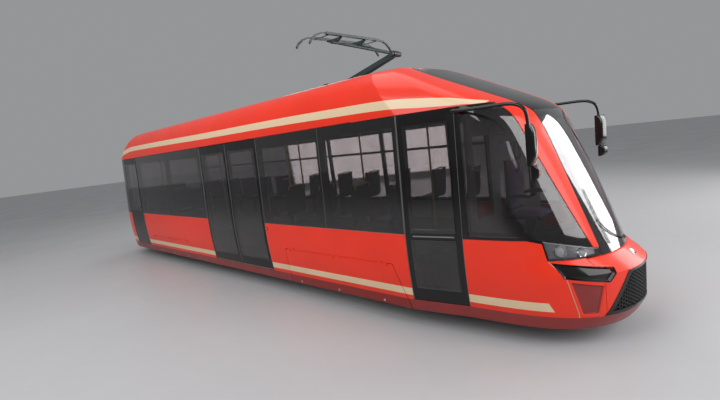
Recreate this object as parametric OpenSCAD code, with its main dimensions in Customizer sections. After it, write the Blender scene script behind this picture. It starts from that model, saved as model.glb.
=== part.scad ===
/* [Body] */
// distance from the middle of the car to either end
half_length = 6400; // [6000:10:7700]
// overall width over the side panels
body_width = 2400; // [2200:10:2600]
// height of the lower edge of the skirts
skirt_z = 220; // [180:5:300]
// height of the door feet
sill_z = 360; // [320:5:420]
// height where the dark window band begins
waist_z = 1210; // [1100:10:1400]
// height where the window band ends
band_z = 2650; // [2500:10:2900]
// height of the roof edge
roof_z = 3270; // [3100:10:3500]
// thickness of the body walls
wall_t = 50; // [35:1:60]

/* [Doors] */
// width of the front door opening along its tapered wall
front_door_w = 723; // [650:5:850]
// rear edge of the centre door
centre_door_a = -920; // [-1000:10:-700]
// front edge of the centre door
centre_door_b = 1130; // [900:10:1200]
// width of the rear door opening
rear_door_w = 880; // [700:10:950]
// thickness of a door leaf
leaf_t = 44; // [38:1:44]

/* [Running gear] */
// distance from the middle of the car to each bogie centre
bogie_x = 2850; // [2800:10:3300]
// distance between the two axles of a bogie
wheelbase = 1900; // [1700:10:1950]
// wheel radius on the tread
wheel_r = 325; // [300:1:335]
// height of the wheel flange
flange_h = 28; // [24:1:30]
// track gauge
gauge = 1435; // [1000:1:1524]
// axle radius
axle_r = 75; // [60:1:85]

/* [Floor] */
// height of the saloon floor
floor_z = 900; // [860:5:950]
// thickness of the floor plate
floor_t = 40; // [30:1:50]

/* [Pantograph] */
// length position of the lower arm's foot
panto_x = 2150; // [1500:10:2400]
// length of the lower arm
lower_arm = 1230; // [1000:10:1400]
// half width of the contact strip's straight part
strip_half = 600; // [500:10:700]

/* [Hidden] */
$fn = 96;
clear = 0.05;
half_w = body_width / 2;
tuck = 80;
lean = 40;
shoulder_r = 400;
shoulder_y = half_w - lean - shoulder_r;
roof_h = roof_z - band_z;
hood_edge = 800;
hood_top = 950;
screen_top = 2520;
rake_base = half_length + 192;
brow_base = half_length - 1379;
front_b = half_length - 3000;
front_1 = half_length - 2260;
front_d = front_1 + front_door_w;
rear_b = half_length - 1900;
rear_1 = half_length - 1300;
rear_d = half_length - 1100;
rear_door_b = -rear_d + rear_door_w;
axle_z = wheel_r + flange_h;
glass_t = 8;
mid_z = [sill_z, 500, 640, 800, 1000, waist_z];
low_z = [skirt_z, 290, sill_z];
red = [0.86, 0.17, 0.09];
black = [0.05, 0.05, 0.055];
steel = [0.35, 0.35, 0.36];

function clampv(v, a, b) = max(a, min(b, v));
function mix(a, b, v) = a + (b - a) * v;
function soft_min(a, b, r) = (a + b) / 2 - sqrt(pow((a - b) / 2, 2) + r * r);
function roof_k(z) = clampv((z - band_z) / roof_h, 0, 1);
// half width of the body at height z, inset by t
function side_y(z, t) =
  z < waist_z ? half_w - tuck * pow((waist_z - z) / (waist_z - skirt_z), 2.2) - t :
  z <= band_z ? half_w - lean * (z - waist_z) / (band_z - waist_z) - t :
  shoulder_y + (shoulder_r - t) * sqrt(max(0, 1 - pow(roof_k(z), 2)));
function side_z(z, t) = z <= band_z ? z : band_z + (roof_h - t) * roof_k(z);
// length of the front and of the rear at height z
function nose_x(z) =
  z < hood_edge ? half_length - 100 * pow(clampv((450 - z) / 230, 0, 1), 2) :
  z < hood_top ? mix(half_length, rake_base - 0.401 * hood_top, (z - hood_edge) / (hood_top - hood_edge)) :
  soft_min(rake_base - 0.401 * z, brow_base - 2.213 * (z - band_z - 150), 91);
function tail_x(z) =
  z < 1000 ? half_length - 60 * pow(clampv((450 - z) / 230, 0, 1), 2) :
  soft_min(half_length - 0.15 * (z - 1000), half_length - 250 - 2 * (z - band_z - 100), 50);
function end_x(e, z) = e == 0 ? nose_x(z) : tail_x(z);
function end_b(e) = e == 0 ? front_b : rear_b;
function end_1(e) = e == 0 ? front_1 : rear_1;
function end_d(e) = e == 0 ? front_d : rear_d;
function end_k(e) = e == 0 ? 0.892 : 1;
function end_p(e) = e == 0 ? 4.016 : 3.4;
function end_t(e) = e == 0 ? 0.119 : 0.08;
function end_m(e, z) = min(1, (end_x(e, z) - end_b(e)) / (end_x(e, band_z) - end_b(e)));
// point of the end's skin: u -2..-1 straight side, -1..0 tapered side, 0..1 curve to the centre line
function end_pt(e, u, z, t) =
  u > 1 ? let (p = end_pt(e, 2 - u, z, t)) [p[0], -p[1], p[2]] :
  let (m = end_m(e, z), b = end_b(e), x1 = b + (end_1(e) - b) * m, xd = b + (end_d(e) - b) * m,
    h = side_y(z, t), yd = side_y(z, 0) * end_k(e) - (side_y(z, 0) - h),
    s = 1 - pow(1 - clampv(u, 0, 1), 2), xn = end_x(e, z) - 1.1 * t, zz = side_z(z, t))
  u < -1 ? [x1 + (x1 - b) * (u + 1), -h, zz] :
  u < 0 ? [mix(x1, xd, u + 1), -mix(h, yd, u + 1), zz] :
  [mix(xd, xn, s), -yd * (1 - end_t(e) * s) * sqrt(max(0, 1 - pow(s, end_p(e)))), zz];
// curved edges between the panels of the ends
function pillar_out(z) = clampv(0.70 - 0.15 * (z - 1080) / 1230, 0.50, 0.72);
function pillar_in(z) = z < screen_top ? 0.75 : 0.75 - 0.17 * (z - screen_top) / (roof_z - screen_top);
function waist_line(u) = waist_z - 170 * clampv((u - 0.32) / 0.40, 0, 1);
function val_u(a, z) = a == 101 ? pillar_out(z) : a == 102 ? pillar_in(z) : a == 103 ? pillar_out(z) - 0.005 :
  a == 104 ? pillar_in(z) + 0.006 : a == 105 ? 2 - pillar_in(z) - 0.006 : a;
function val_z(a, u) = a == 10001 ? waist_line(u) : a == 10003 ? waist_line(u) - 2.5 :
  a == 10004 ? waist_line(u) + 8 : a == 10005 ? waist_line(u) + 3.5 : a;
function grid_uz(ua, ub, za, zb, s, v, z, n) =
  let (u = mix(val_u(ua, z), val_u(ub, z), s))
  n == 0 ? [u, z] : grid_uz(ua, ub, za, zb, s, v, mix(val_z(za, u), val_z(zb, u), v), n - 1);

// a curved panel of the front (e 0) or the rear (e 1), between insets t0 and t1
module patch(e, ua, ub, za, zb, t0, t1, nu, nz) {
  n = (nu + 1) * (nz + 1);
  uz = [for (j = [0 : nz]) for (i = [0 : nu]) grid_uz(ua, ub, za, zb, i / nu, j / nz, 1800, 5)];
  pts = concat([for (q = uz) end_pt(e, q[0], q[1], t0)], [for (q = uz) end_pt(e, q[0], q[1], t1)]);
  w = nu + 1;
  skin = [for (j = [0 : nz - 1]) for (i = [0 : nu - 1]) let (a = j * w + i)
    each [[a, a + w, a + w + 1], [a, a + w + 1, a + 1],
      [n + a, n + a + 1, n + a + w + 1], [n + a, n + a + w + 1, n + a + w]]];
  ends_z = [for (i = [0 : nu - 1]) let (a = i, c = nz * w + i)
    each [[a, a + 1, n + a + 1], [a, n + a + 1, n + a],
      [c + 1, c, n + c], [c + 1, n + c, n + c + 1]]];
  ends_u = [for (j = [0 : nz - 1]) let (a = j * w, c = j * w + nu)
    each [[a, n + a, n + a + w], [a, n + a + w, a + w],
      [n + c, c, c + w], [n + c, c + w, n + c + w]]];
  mirror([e, 0, 0]) polyhedron(points = pts, faces = concat(skin, ends_z, ends_u), convexity = 6);
}
module both() {
  children();
  mirror([0, 1, 0]) children();
}
// straight wall on the right side between heights zs and insets t0, t1
module wall(zs, t0, t1, xa, xb) {
  n = len(zs) - 1;
  outer = [for (z = zs) [-side_y(z, t0), side_z(z, t0)]];
  inner = [for (i = [n : -1 : 0]) [-side_y(zs[i], t1), side_z(zs[i], t1)]];
  translate([xa, 0, 0]) rotate([90, 0, 90]) linear_extrude(height = xb - xa) polygon(concat(outer, inner));
}
// a cutter through the right wall with an outline in length and height
module side_cut(pts, ya, yb) {
  translate([0, yb, 0]) rotate([90, 0, 0]) linear_extrude(height = yb - ya) polygon(pts);
}
module box(a, b) {
  translate(a) cube(b - a);
}
module rod_x(xa, xb, y, z, r) {
  translate([xa, y, z]) rotate([0, 90, 0]) cylinder(h = xb - xa, r = r);
}
module rod_y(ya, yb, x, z, r) {
  translate([x, yb, z]) rotate([90, 0, 0]) cylinder(h = yb - ya, r = r);
}
module rod_z(za, zb, x, y, r) {
  translate([x, y, za]) cylinder(h = zb - za, r = r);
}
// outline of the floor or the roof at height z and inset t
function plan(z, t, n) = concat(
  [for (i = [0 : n]) let (p = end_pt(0, mix(-1, 1, i / n), z, t)) [p[0], p[1]]],
  [for (i = [n - 1 : -1 : 0]) let (p = end_pt(0, mix(-1, 1, i / n), z, t)) [p[0], -p[1]]],
  [for (i = [0 : n]) let (p = end_pt(1, mix(-1, 1, i / n), z, t)) [-p[0], -p[1]]],
  [for (i = [n - 1 : -1 : 0]) let (p = end_pt(1, mix(-1, 1, i / n), z, t)) [-p[0], p[1]]]);

hatch_f = [[bogie_x - 1240, skirt_z], [bogie_x - 1240, hood_edge], [bogie_x + 1030, hood_edge], [bogie_x + 1240, skirt_z]];
hatch_r = [[-bogie_x - 1260, skirt_z], [-bogie_x - 1260, 640], [-bogie_x + 820, 640], [-bogie_x + 890, skirt_z]];
function slope(p) = (p[3][0] - p[2][0]) / (p[2][1] - p[3][1]);
function grow(p, d) = [[p[0][0] - d, p[0][1] - 60], [p[1][0] - d, p[1][1] + d],
  [p[2][0] + d * (1 - slope(p)), p[2][1] + d], [p[3][0] + d + 60 * slope(p), p[3][1] - 60]];
hinge_f = [0, -side_y(hood_edge, 0) - 5, hood_edge + 4];
hinge_r = [0, -side_y(640, 0) - 5, 640 + 4];

module hatch_gaps() {
  side_cut(grow(hatch_f, 8), -half_w - 50, -half_w + 250);
  side_cut(grow(hatch_r, 8), -half_w - 50, -half_w + 250);
}
module side_panels() {
  color(red) {
    difference() {
      union() {
        wall(mid_z, 0, wall_t, rear_door_b, centre_door_a);
        wall(mid_z, 0, wall_t, centre_door_b, front_1);
      }
      hatch_gaps();
    }
    mirror([0, 1, 0]) difference() {
      wall(mid_z, 0, wall_t, -rear_d, front_1);
      hatch_gaps();
    }
    both() {
      hinge_knuckles(hinge_f, bogie_x - 1040, bogie_x + 830);
      hinge_knuckles(hinge_r, -bogie_x - 1060, -bogie_x + 620);
    }
  }
}
module hinge_knuckles(h, xa, xb) {
  for (x = [xa, xb]) difference() {
    union() {
      rod_x(x - 30, x + 30, h[1], h[2], 9);
      box([x - 30, h[1] - 3, h[2]], [x + 30, h[1] + 9, h[2] + 34]);
    }
    rod_x(x - 40, x + 40, h[1], h[2], 5 + clear);
  }
}
module hatch(o, h, xa, xb) {
  difference() {
    intersection() {
      wall(concat([skirt_z, 290], [sill_z, 500, 640, 800]), 0, 28, o[0][0] - 10, o[3][0] + 10);
      side_cut(o, -half_w - 50, -half_w + 250);
    }
    for (x = [xa, xb]) box([x - 36, -half_w - 50, h[2] - 20], [x + 36, -half_w + 100, h[2] + 5]);
  }
  rod_x(xa - 120, xb + 120, h[1], h[2], 5);
  for (x = [xa - 90, (xa + xb) / 2, xb + 90])
    box([x - 25, h[1] - 3, h[2] - 40], [x + 25, h[1] + 7, h[2]]);
}
module hatch_front_right() {
  color(red) hatch(hatch_f, hinge_f, bogie_x - 1040, bogie_x + 830);
}
module hatch_front_left() {
  color(red) mirror([0, 1, 0]) hatch(hatch_f, hinge_f, bogie_x - 1040, bogie_x + 830);
}
module hatch_rear_right() {
  color(red) hatch(hatch_r, hinge_r, -bogie_x - 1060, -bogie_x + 620);
}
module hatch_rear_left() {
  color(red) mirror([0, 1, 0]) hatch(hatch_r, hinge_r, -bogie_x - 1060, -bogie_x + 620);
}
module side_skirts() {
  color([0.5, 0.08, 0.05]) both() difference() {
    wall(low_z, 0, wall_t - 10, -rear_d, front_1);
    hatch_gaps();
  }
}
module window_bands() {
  frames = [[rear_door_b, -2660], [-2560, centre_door_a], [centre_door_b, 2660], [2760, front_1]];
  color(black) {
    difference() {
      union() {
        wall([waist_z, band_z], glass_t + 0.3, wall_t, rear_door_b, centre_door_a);
        wall([waist_z, band_z], glass_t + 0.3, wall_t, centre_door_b, front_1);
      }
      for (f = frames) box([f[0] + 70, -half_w - 50, waist_z + 60], [f[1] - (f[1] == -2660 || f[1] == 2660 ? 0 : 70), -half_w + 250, band_z - 150]);
    }
    mirror([0, 1, 0]) difference() {
      wall([waist_z, band_z], glass_t + 0.3, wall_t, -rear_d, front_1);
      for (f = [[-rear_d + 70, -4140], [-4060, -2640], [-2560, -1130], [-1050, 380], [460, 1890], [1970, front_1 - 760], [front_1 - 680, front_1 - 70]]) {
        box([f[0], -half_w - 50, waist_z + 60], [f[1], -half_w + 250, 2130]);
        box([f[0], -half_w - 50, 2175], [f[1], -half_w + 250, band_z - 150]);
      }
    }
  }
}
module side_glass() {
  color([0.1, 0.1, 0.11, 0.5]) {
    wall([waist_z + 3, band_z - 3], 0, glass_t, rear_door_b + 4, -2614);
    wall([waist_z + 3, band_z - 3], 0, glass_t, -2606, centre_door_a - 4);
    wall([waist_z + 3, band_z - 3], 0, glass_t, centre_door_b + 4, 2706);
    wall([waist_z + 3, band_z - 3], 0, glass_t, 2714, front_1 - 4);
    mirror([0, 1, 0]) for (f = [[-rear_d + 4, -2604], [-2596, 416], [424, front_1 - 4]])
      wall([waist_z + 3, band_z - 3], 0, glass_t, f[0], f[1]);
  }
}
roof_zs = [for (i = [0 : 12]) band_z + roof_h * sin(i * 90 / 12)];
module roof_sides() {
  color(red) both() wall(roof_zs, 0, wall_t, -rear_b, front_b);
}
module roof_deck() {
  w = shoulder_y - 1;
  color([0.3, 0.3, 0.31]) {
    difference() {
      box([-rear_b + 60, -w, roof_z - 170], [front_b, w, roof_z - 2]);
      box([-rear_b + 100, -w + 40, roof_z - 130], [front_b - 40, w - 40, roof_z + 10]);
    }
    translate([0, 0, roof_z - 50]) linear_extrude(height = 47) polygon(concat(
      [[front_b + 0.5, -w]], [for (i = [0 : 24]) let (p = end_pt(0, mix(-1, 1, i / 24), roof_z, wall_t + 8)) [p[0], p[1] * 0.994]],
      [for (i = [23 : -1 : 0]) let (p = end_pt(0, mix(-1, 1, i / 24), roof_z, wall_t + 8)) [p[0], -p[1] * 0.994]],
      [[front_b + 0.5, w]]));
    translate([0, 0, roof_z - 50]) linear_extrude(height = 47) polygon(concat(
      [[-rear_b + 59.5, -w]], [for (i = [0 : 24]) let (p = end_pt(1, mix(-1, 1, i / 24), roof_z, wall_t + 8)) [-p[0], p[1] * 0.994]],
      [for (i = [23 : -1 : 0]) let (p = end_pt(1, mix(-1, 1, i / 24), roof_z, wall_t + 8)) [-p[0], -p[1] * 0.994]],
      [[-rear_b + 59.5, w]]));
  }
}
module roof_boxes() {
  z = roof_z - 130;
  color([0.55, 0.56, 0.57]) {
    box([-4200, -480, z], [-2700, 480, z + 190]);
    box([-2350, -520, z], [-1250, 520, z + 170]);
    box([-900, -500, z], [250, 500, z + 180]);
    box([500, -450, z], [1150, 450, z + 150]);
  }
}
module front_roof() {
  color(red) both() patch(0, -2, 102, band_z + 0.5, roof_z, 0, wall_t, 20, 10);
}
module brow() {
  color(black) patch(0, 104, 105, screen_top + 0.6, roof_z, 0, wall_t, 16, 12);
}
module windscreen() {
  color([0.1, 0.1, 0.11, 0.5]) patch(0, 0.756, 1.244, hood_top + 0.5, screen_top, 0, 10, 16, 14);
}
module front_pillars() {
  color(red) both() patch(0, 101, 102, 10001, band_z, 0, wall_t + 10, 4, 16);
}
module cab_glass() {
  color([0.1, 0.1, 0.11, 0.5]) {
    both() patch(0, 0.03, 103, 10005, band_z - 70, 1, 10, 10, 10);
    mirror([0, 1, 0]) patch(0, -0.96, -0.03, waist_z + 3, band_z - 70, 1, 10, 4, 4);
  }
}
module corner_posts() {
  color(black) {
    both() patch(0, 0, 103, band_z - 67, band_z, 0, wall_t, 10, 1);
    both() patch(0, 0.004, 0.028, waist_z - 2, band_z - 67.5, 0, wall_t, 1, 4);
    both() patch(0, 0.031, 103, 10004, waist_z + 60, 11.2, wall_t, 10, 2);
    mirror([0, 1, 0]) difference() {
      patch(0, -1, -0.004, waist_z + 1, band_z, 11, wall_t, 4, 4);
      box([front_1 + 60, -half_w - 50, waist_z + 60], [front_d - 70, -half_w + 300, band_z - 130]);
    }
    both() patch(1, 0, 0.22, waist_z, band_z, 0, wall_t, 8, 4);
    box([front_b, shoulder_y - 80, roof_z - 169], [front_b + 40, shoulder_y - 2, roof_z - 51]);
    box([front_b, -shoulder_y + 2, roof_z - 169], [front_b + 40, -shoulder_y + 80, roof_z - 51]);
  }
}
module cheeks() {
  color(red) {
    both() patch(0, 0, 0.40, sill_z, 10003, 0, wall_t, 16, 8);
    both() patch(0, 0.4005, 0.622, sill_z, 962, 0, wall_t, 10, 4);
    mirror([0, 1, 0]) patch(0, -1, -0.003, sill_z, waist_z, 0, wall_t, 4, 6);
  }
}
module lamps() {
  color([0.8, 0.8, 0.8]) {
    both() patch(0, 0.407, 0.746, 962.6, 10003, 2, wall_t - 8, 12, 3);
    both() patch(1, 0.30, 0.52, 560, 960, -6.6, -0.6, 6, 4);
  }
}
module hood() {
  color(red) {
    patch(0, 0.6265, 1.3735, hood_edge + 0.5, hood_top, 0, wall_t, 20, 3);
  }
}
module grille() {
  color([0.07, 0.07, 0.08]) patch(0, 0.6265, 1.3735, sill_z, hood_edge, 4, wall_t, 20, 4);
}
module end_skirts() {
  color([0.5, 0.08, 0.05]) {
    patch(0, -1, 3, skirt_z, sill_z - 0.5, 0, wall_t - 10, 64, 2);
    patch(1, 0, 2, skirt_z, sill_z - 0.5, 0, wall_t - 10, 44, 2);
  }
}
module rear_roof() {
  color(red) patch(1, -2, 4, band_z + 0.5, roof_z, 0, wall_t, 48, 8);
}
module rear_panel() {
  color(red) patch(1, 0, 2, sill_z, waist_z - 1, 0, wall_t, 44, 6);
}
module rear_glass() {
  color([0.1, 0.1, 0.11, 0.5]) patch(1, 0.225, 1.775, waist_z - 0.4, band_z - 2, 0, 12, 32, 8);
}
module portal(xa, xb, out) {
  difference() {
    wall([sill_z, waist_z, band_z], leaf_t + 6.8, leaf_t + 50, xa - out, xb + 50);
    box([xa + 40, -half_w - 50, sill_z + 30], [xb - 40, -half_w + 300, band_z - 90]);
  }
}
module door_portals() {
  color(black) {
    portal(-rear_d, rear_door_b, 5);
    portal(centre_door_a, centre_door_b, 50);
    difference() {
      patch(0, -1, -0.002, sill_z, band_z, wall_t + 1.2, wall_t + 45, 6, 8);
      patch(0, -0.94, -0.05, sill_z + 30, band_z - 90, wall_t - 30, wall_t + 120, 2, 4);
    }
  }
}
module leaf(xa, xb, low, high) {
  difference() {
    wall([sill_z + 6, waist_z, band_z - 6], 6, leaf_t + 6, xa, xb);
    box([xa + 85, -half_w - 50, low], [xb - 85, -half_w + 300, high]);
  }
}
module door_leaves() {
  m = (centre_door_a + centre_door_b) / 2;
  color(black) {
    leaf(-rear_d + 8, rear_door_b - 8, 1300, 2480);
    leaf(centre_door_a + 8, m - 4, 560, 2480);
    leaf(m + 4, centre_door_b - 8, 560, 2480);
    difference() {
      patch(0, -0.985, -0.015, sill_z + 6, band_z - 6, 7.5, wall_t, 4, 16);
      patch(0, -0.86, -0.14, 560, 1120, -20, wall_t + 40, 2, 2);
      patch(0, -0.86, -0.14, 1260, 2480, -20, wall_t + 40, 2, 4);
    }
  }
}
module door_glass() {
  m = (centre_door_a + centre_door_b) / 2;
  color([0.1, 0.1, 0.11, 0.5]) {
    wall([1280, 2500], 0.5, 5.7, -rear_d + 68, rear_door_b - 68);
    for (f = [[centre_door_a + 8, m - 4], [m + 4, centre_door_b - 8]])
      wall([540, waist_z, 2500], 0.5, 5.7, f[0] + 60, f[1] - 60);
    patch(0, -0.89, -0.11, 530, 1150, 0.6, 6.6, 2, 4);
    patch(0, -0.89, -0.11, 1230, 2510, 0.6, 7, 2, 4);
  }
}
step_in = side_y(sill_z, leaf_t + 53);
step_out = 800;
step_front = side_y(sill_z, wall_t + 45) - 15;
module well_cut(xa, xb, out) {
  box([xa, -half_w, floor_z - floor_t - 5], [xb, -step_out, floor_z + 5]);
  box([xa - 118, -half_w, floor_z - floor_t - 5], [xb + 118, -out, floor_z + 5]);
}
module well(xa, xb) {
  difference() {
    box([xa - 20, -step_in + 2, sill_z + 2], [xb + 20, -step_out + 20, floor_z - floor_t]);
    box([xa, -half_w, sill_z + 32], [xb, -step_out, floor_z + 50]);
  }
  box([xa, -step_in + 200, sill_z + 32], [xb, -step_out, 640]);
}
module floor() {
  color([0.25, 0.26, 0.28]) {
    difference() {
      translate([0, 0, floor_z - floor_t]) linear_extrude(height = floor_t) polygon(plan(floor_z, wall_t + 5, 20));
      well_cut(-rear_d + 60, rear_door_b - 60, side_y(floor_z, leaf_t + 68));
      well_cut(centre_door_a + 60, centre_door_b - 60, side_y(floor_z, leaf_t + 68));
      well_cut(front_1 + 90, front_d - 60, 960);
    }
    well(-rear_d + 60, rear_door_b - 60);
    well(centre_door_a + 60, centre_door_b - 60);
    difference() {
      translate([0, 0, sill_z + 2]) linear_extrude(height = floor_z - floor_t - sill_z - 2)
        polygon([[front_1 + 70, 20 - step_out], [front_1 + 70, -step_front], [front_d - 40, 105 - step_front],
          [front_d - 40, 20 - step_out]]);
      box([front_1 + 90, -half_w, sill_z + 32], [front_d - 60, -step_out, floor_z + 50]);
    }
  }
}
pad_x = [-5500, -1500, 1340, 5100];
tow_in = 150;
tow_r = 22;
frame_top = floor_z - floor_t;
frame_low = frame_top - 120;
rail_y = 420;
rail_half = 40;
seat_gap = 0.3;
cross_x = [-half_length + 260, -rear_d - 60, -rear_d + 960, -1500, 1450, front_1 - 120, half_length - 700];
module cross_beams(grow) {
  for (x = cross_x) box([x - grow, -760 - grow, frame_low - grow], [x + 90 + grow, 760 + grow, frame_top + grow]);
}
module underframe() {
  color([0.18, 0.18, 0.19]) {
    for (s = [-1, 1]) box([-half_length + 240, s * rail_y - rail_half, frame_low],
      [half_length - 560, s * rail_y + rail_half, frame_top]);
    cross_beams(0);
  }
}
module bolsters() {
  bolt = bogie_top + 0.3;
  y_in = rail_y - rail_half - seat_gap;
  color([0.19, 0.19, 0.2]) for (x = [-bogie_x, bogie_x]) {
    box([x - 300, -560, bolt], [x + 300, 560, frame_low - seat_gap]);
    box([x - 300, -y_in, bolt], [x + 300, y_in, frame_top - seat_gap]);
    rod_z(bolt - 170, frame_top - 20, x, 0, 60);
  }
}
module jack_arms() {
  y_in = rail_y + rail_half + seat_gap;
  color([0.2, 0.2, 0.21]) difference() {
    for (x = pad_x) for (s = [-1, 1]) {
      box([x, min(s * y_in, s * 760), frame_low - 140], [x + 160, max(s * y_in, s * 760), frame_top - seat_gap]);
      box([x, s * 700 - 60, frame_low - 220], [x + 160, s * 700 + 60, frame_low]);
    }
    cross_beams(seat_gap);
  }
}
module tow_brackets() {
  color([0.2, 0.2, 0.21]) difference() {
    for (s = [-1, 1]) {
      x = s > 0 ? half_length - 560 : -half_length + 240;
      box([min(x, x - s * 160), -370, frame_low - 396], [max(x, x - s * 160), 370, frame_low - seat_gap]);
      tip = s * (half_length - tow_in);
      box([min(x, tip), -90, skirt_z + 70], [max(x, tip), 90, skirt_z + 130]);
    }
    for (s = [-1, 1]) rod_z(skirt_z, skirt_z + 300, s * (half_length - tow_in - 60), 0, tow_r);
  }
}
module under_boxes() {
  color([0.22, 0.22, 0.23]) {
    box([-1150, 120, 330], [1250, 1040, frame_low - seat_gap]);
    box([-1100, -740, 380], [-200, -160, frame_low - seat_gap]);
    box([100, -740, 380], [1000, -160, frame_low - seat_gap]);
  }
}
module seat(x, y, d) {
  translate([x, y, floor_z]) {
    box([-30, -30, 0], [30, 30, 400]);
    box([-200, -200, 400], [200, 200, 450]);
    box([d > 0 ? -200 : 160, -200, 450], [d > 0 ? -160 : 200, 200, 900]);
  }
}
module seats() {
  color([0.1, 0.25, 0.55]) {
    for (x = [-3900, -3150, -2400, -1650, 1500, 2250, 3000, 3700]) seat(x, -880, x < 0 ? 1 : -1);
    for (x = [-4700, -3900, -3150, -2400, -1650, -900, 0, 900, 1650, 2400, 3150, 3800]) seat(x, 880, x < 0 ? 1 : -1);
    box([-5900, -700, floor_z], [-5500, 700, floor_z + 420]);
    box([-5980, -700, floor_z], [-5900, 700, floor_z + 900]);
  }
}
module handrails() {
  top = roof_z - 170;
  color([0.9, 0.75, 0.1]) {
    for (p = [[-4300, -600], [-3300, 560], [-1000, -600], [1200, -600], [-1500, 560], [100, 560], [1900, 560], [3400, 560]])
      rod_z(floor_z, top, p[0], p[1], 17);
    for (s = [-1, 1]) {
      rod_x(-4300, 3400, s * 580, 2780, 15);
      for (x = [-4000, -2000, 0, 2000]) rod_z(2780, top, x, s * 580, 10);
    }
    rod_y(-760, -600, -1000, 1900, 14);
    rod_y(-760, -600, 1200, 1900, 14);
  }
}
module driver_place() {
  d = half_length - 800;
  x = front_d + 337;
  color([0.2, 0.2, 0.22]) {
    box([d, -430, floor_z], [d + 290, 430, 1180]);
    box([d - 60, -470, 1180], [d + 300, 470, 1230]);
    rod_z(floor_z, 1260, x, 0, 50);
    box([x - 190, -220, 1260], [x + 220, 220, 1350]);
    box([x - 205, -210, 1350], [x - 135, 210, 1980]);
  }
}
wall_x = front_d + 60;
door_y = 360;
pin_x = wall_x - 22;
module cab_wall() {
  color([0.62, 0.62, 0.6]) {
    difference() {
      translate([wall_x, 0, 0]) rotate([90, 0, 90]) linear_extrude(height = 36) polygon([
        [-970, floor_z], [970, floor_z], [970, 2560], [700, 2725], [300, 2770], [-300, 2770], [-700, 2725], [-970, 2560]]);
      box([wall_x - 50, -350, floor_z - 5], [wall_x + 80, door_y + 4, 2300]);
      box([wall_x - 50, 460, 1350], [wall_x + 80, 860, 2300]);
      box([wall_x - 50, -860, 1350], [wall_x + 80, -460, 2300]);
    }
    for (z = [floor_z + 10, 2250]) difference() {
      union() {
        rod_z(z, z + 40, pin_x, door_y + 20, 18);
        box([pin_x, door_y + 20, z], [wall_x, door_y + 38, z + 40]);
      }
      rod_z(z - 5, z + 45, pin_x, door_y + 20, 8 + clear);
    }
  }
}
module cab_door() {
  color([0.62, 0.62, 0.6]) {
    difference() {
      box([wall_x, -342, floor_z + 12], [wall_x + 30, door_y - 4, 2292]);
      box([wall_x - 10, -240, 1400], [wall_x + 40, door_y - 110, 2180]);
    }
    rod_z(floor_z + 2, 2298, pin_x, door_y + 20, 8);
    for (z = [floor_z + 120, 1600, 2150]) {
      rod_z(z, z + 40, pin_x, door_y + 20, 16);
      translate([0, 0, z]) linear_extrude(height = 40) polygon([[pin_x - 2, door_y + 5], [pin_x + 8, door_y + 8],
        [wall_x + 5, door_y - 20], [wall_x + 5, door_y - 60], [wall_x - 6, door_y - 60]]);
    }
    rod_x(wall_x - 60, wall_x, -270, 1250, 9);
    rod_y(-275, -180, wall_x - 60, 1250, 9);
  }
}
module mirrors() {
  x = front_d;
  color([0.04, 0.04, 0.045]) both() {
    hull() {
      rod_x(x + 15, x + 55, -1047.4, band_z - 45, 16);
      rod_x(x + 15, x + 55, -1135, band_z - 55, 16);
    }
    rod_x(x + 20, x + 700, -1135, band_z - 55, 16);
    hull() {
      translate([x + 700, -1135, band_z - 55]) sphere(r = 17, $fn = 12);
      translate([x + 840, -1140, band_z - 150]) sphere(r = 17, $fn = 12);
    }
    hull() {
      translate([x + 840, -1140, band_z - 150]) sphere(r = 17, $fn = 12);
      translate([x + 850, -1145, band_z - 300]) sphere(r = 17, $fn = 12);
    }
    translate([x + 850, -1145, band_z - 490]) rotate([0, 0, 12]) difference() {
      box([-25, -95, -180], [45, 85, 220]);
      box([-40, -80, -165], [-17, 70, 205]);
    }
    translate([x + 870, -1130, band_z - 780]) rotate([0, 0, 12]) difference() {
      box([-20, -75, -30], [40, 65, 114]);
      box([-40, -62, -18], [-12, 52, 96]);
    }
  }
}
bogie_top = 660;
beam_y = 830;
module bogie(x) {
  a = wheelbase / 2;
  color(steel) {
    difference() {
      union() {
        for (s = [-1, 1]) {
          box([x - a - 150, s * (beam_y + 45) - 45, axle_z + 40], [x + a + 150, s * (beam_y + 45) + 45, axle_z + 190]);
          for (d = [-a, a]) box([x + d - 110, s * (beam_y + 45) - 44, axle_z - 100], [x + d + 110, s * (beam_y + 45) + 44, axle_z + 60]);
        }
        box([x - 220, -beam_y - 20, axle_z + 60], [x + 220, beam_y + 20, axle_z + 200]);
        rod_z(axle_z + 100, bogie_top, x, 0, 240);
        for (s = [-1, 1]) {
          rod_z(axle_z + 190, bogie_top - 8, x - 130, s * 720, 70);
          rod_z(axle_z + 190, bogie_top - 8, x + 130, s * 720, 70);
        }
        for (d = [-1, 1]) {
          rod_y(-330, 330, x + d * 430, axle_z + 20, 160);
          box([x + min(d * 200, d * 320), -180, axle_z + 60], [x + max(d * 200, d * 320), 180, axle_z + 180]);
          box([x + min(d * 330, d * 1080), 320, axle_z - 120], [x + max(d * 330, d * 1080), 470, axle_z + 130]);
          for (s = [-1, 1]) {
            box([x + min(d * 90, d * 520), s * 700 - 38, flange_h + 12], [x + max(d * 90, d * 520), s * 700 + 38, flange_h + 72]);
            box([x + min(d * 150, d * 210), s * 700 - 30, flange_h + 70], [x + max(d * 150, d * 210), s * 700 + 30, axle_z + 70]);
          }
        }
      }
      rod_z(0, bogie_top + 10, x, 0, 60 + clear);
      for (d = [-a, a]) rod_y(-beam_y - 60, beam_y + 60, x + d, axle_z, axle_r + clear);
    }
  }
}
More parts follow.
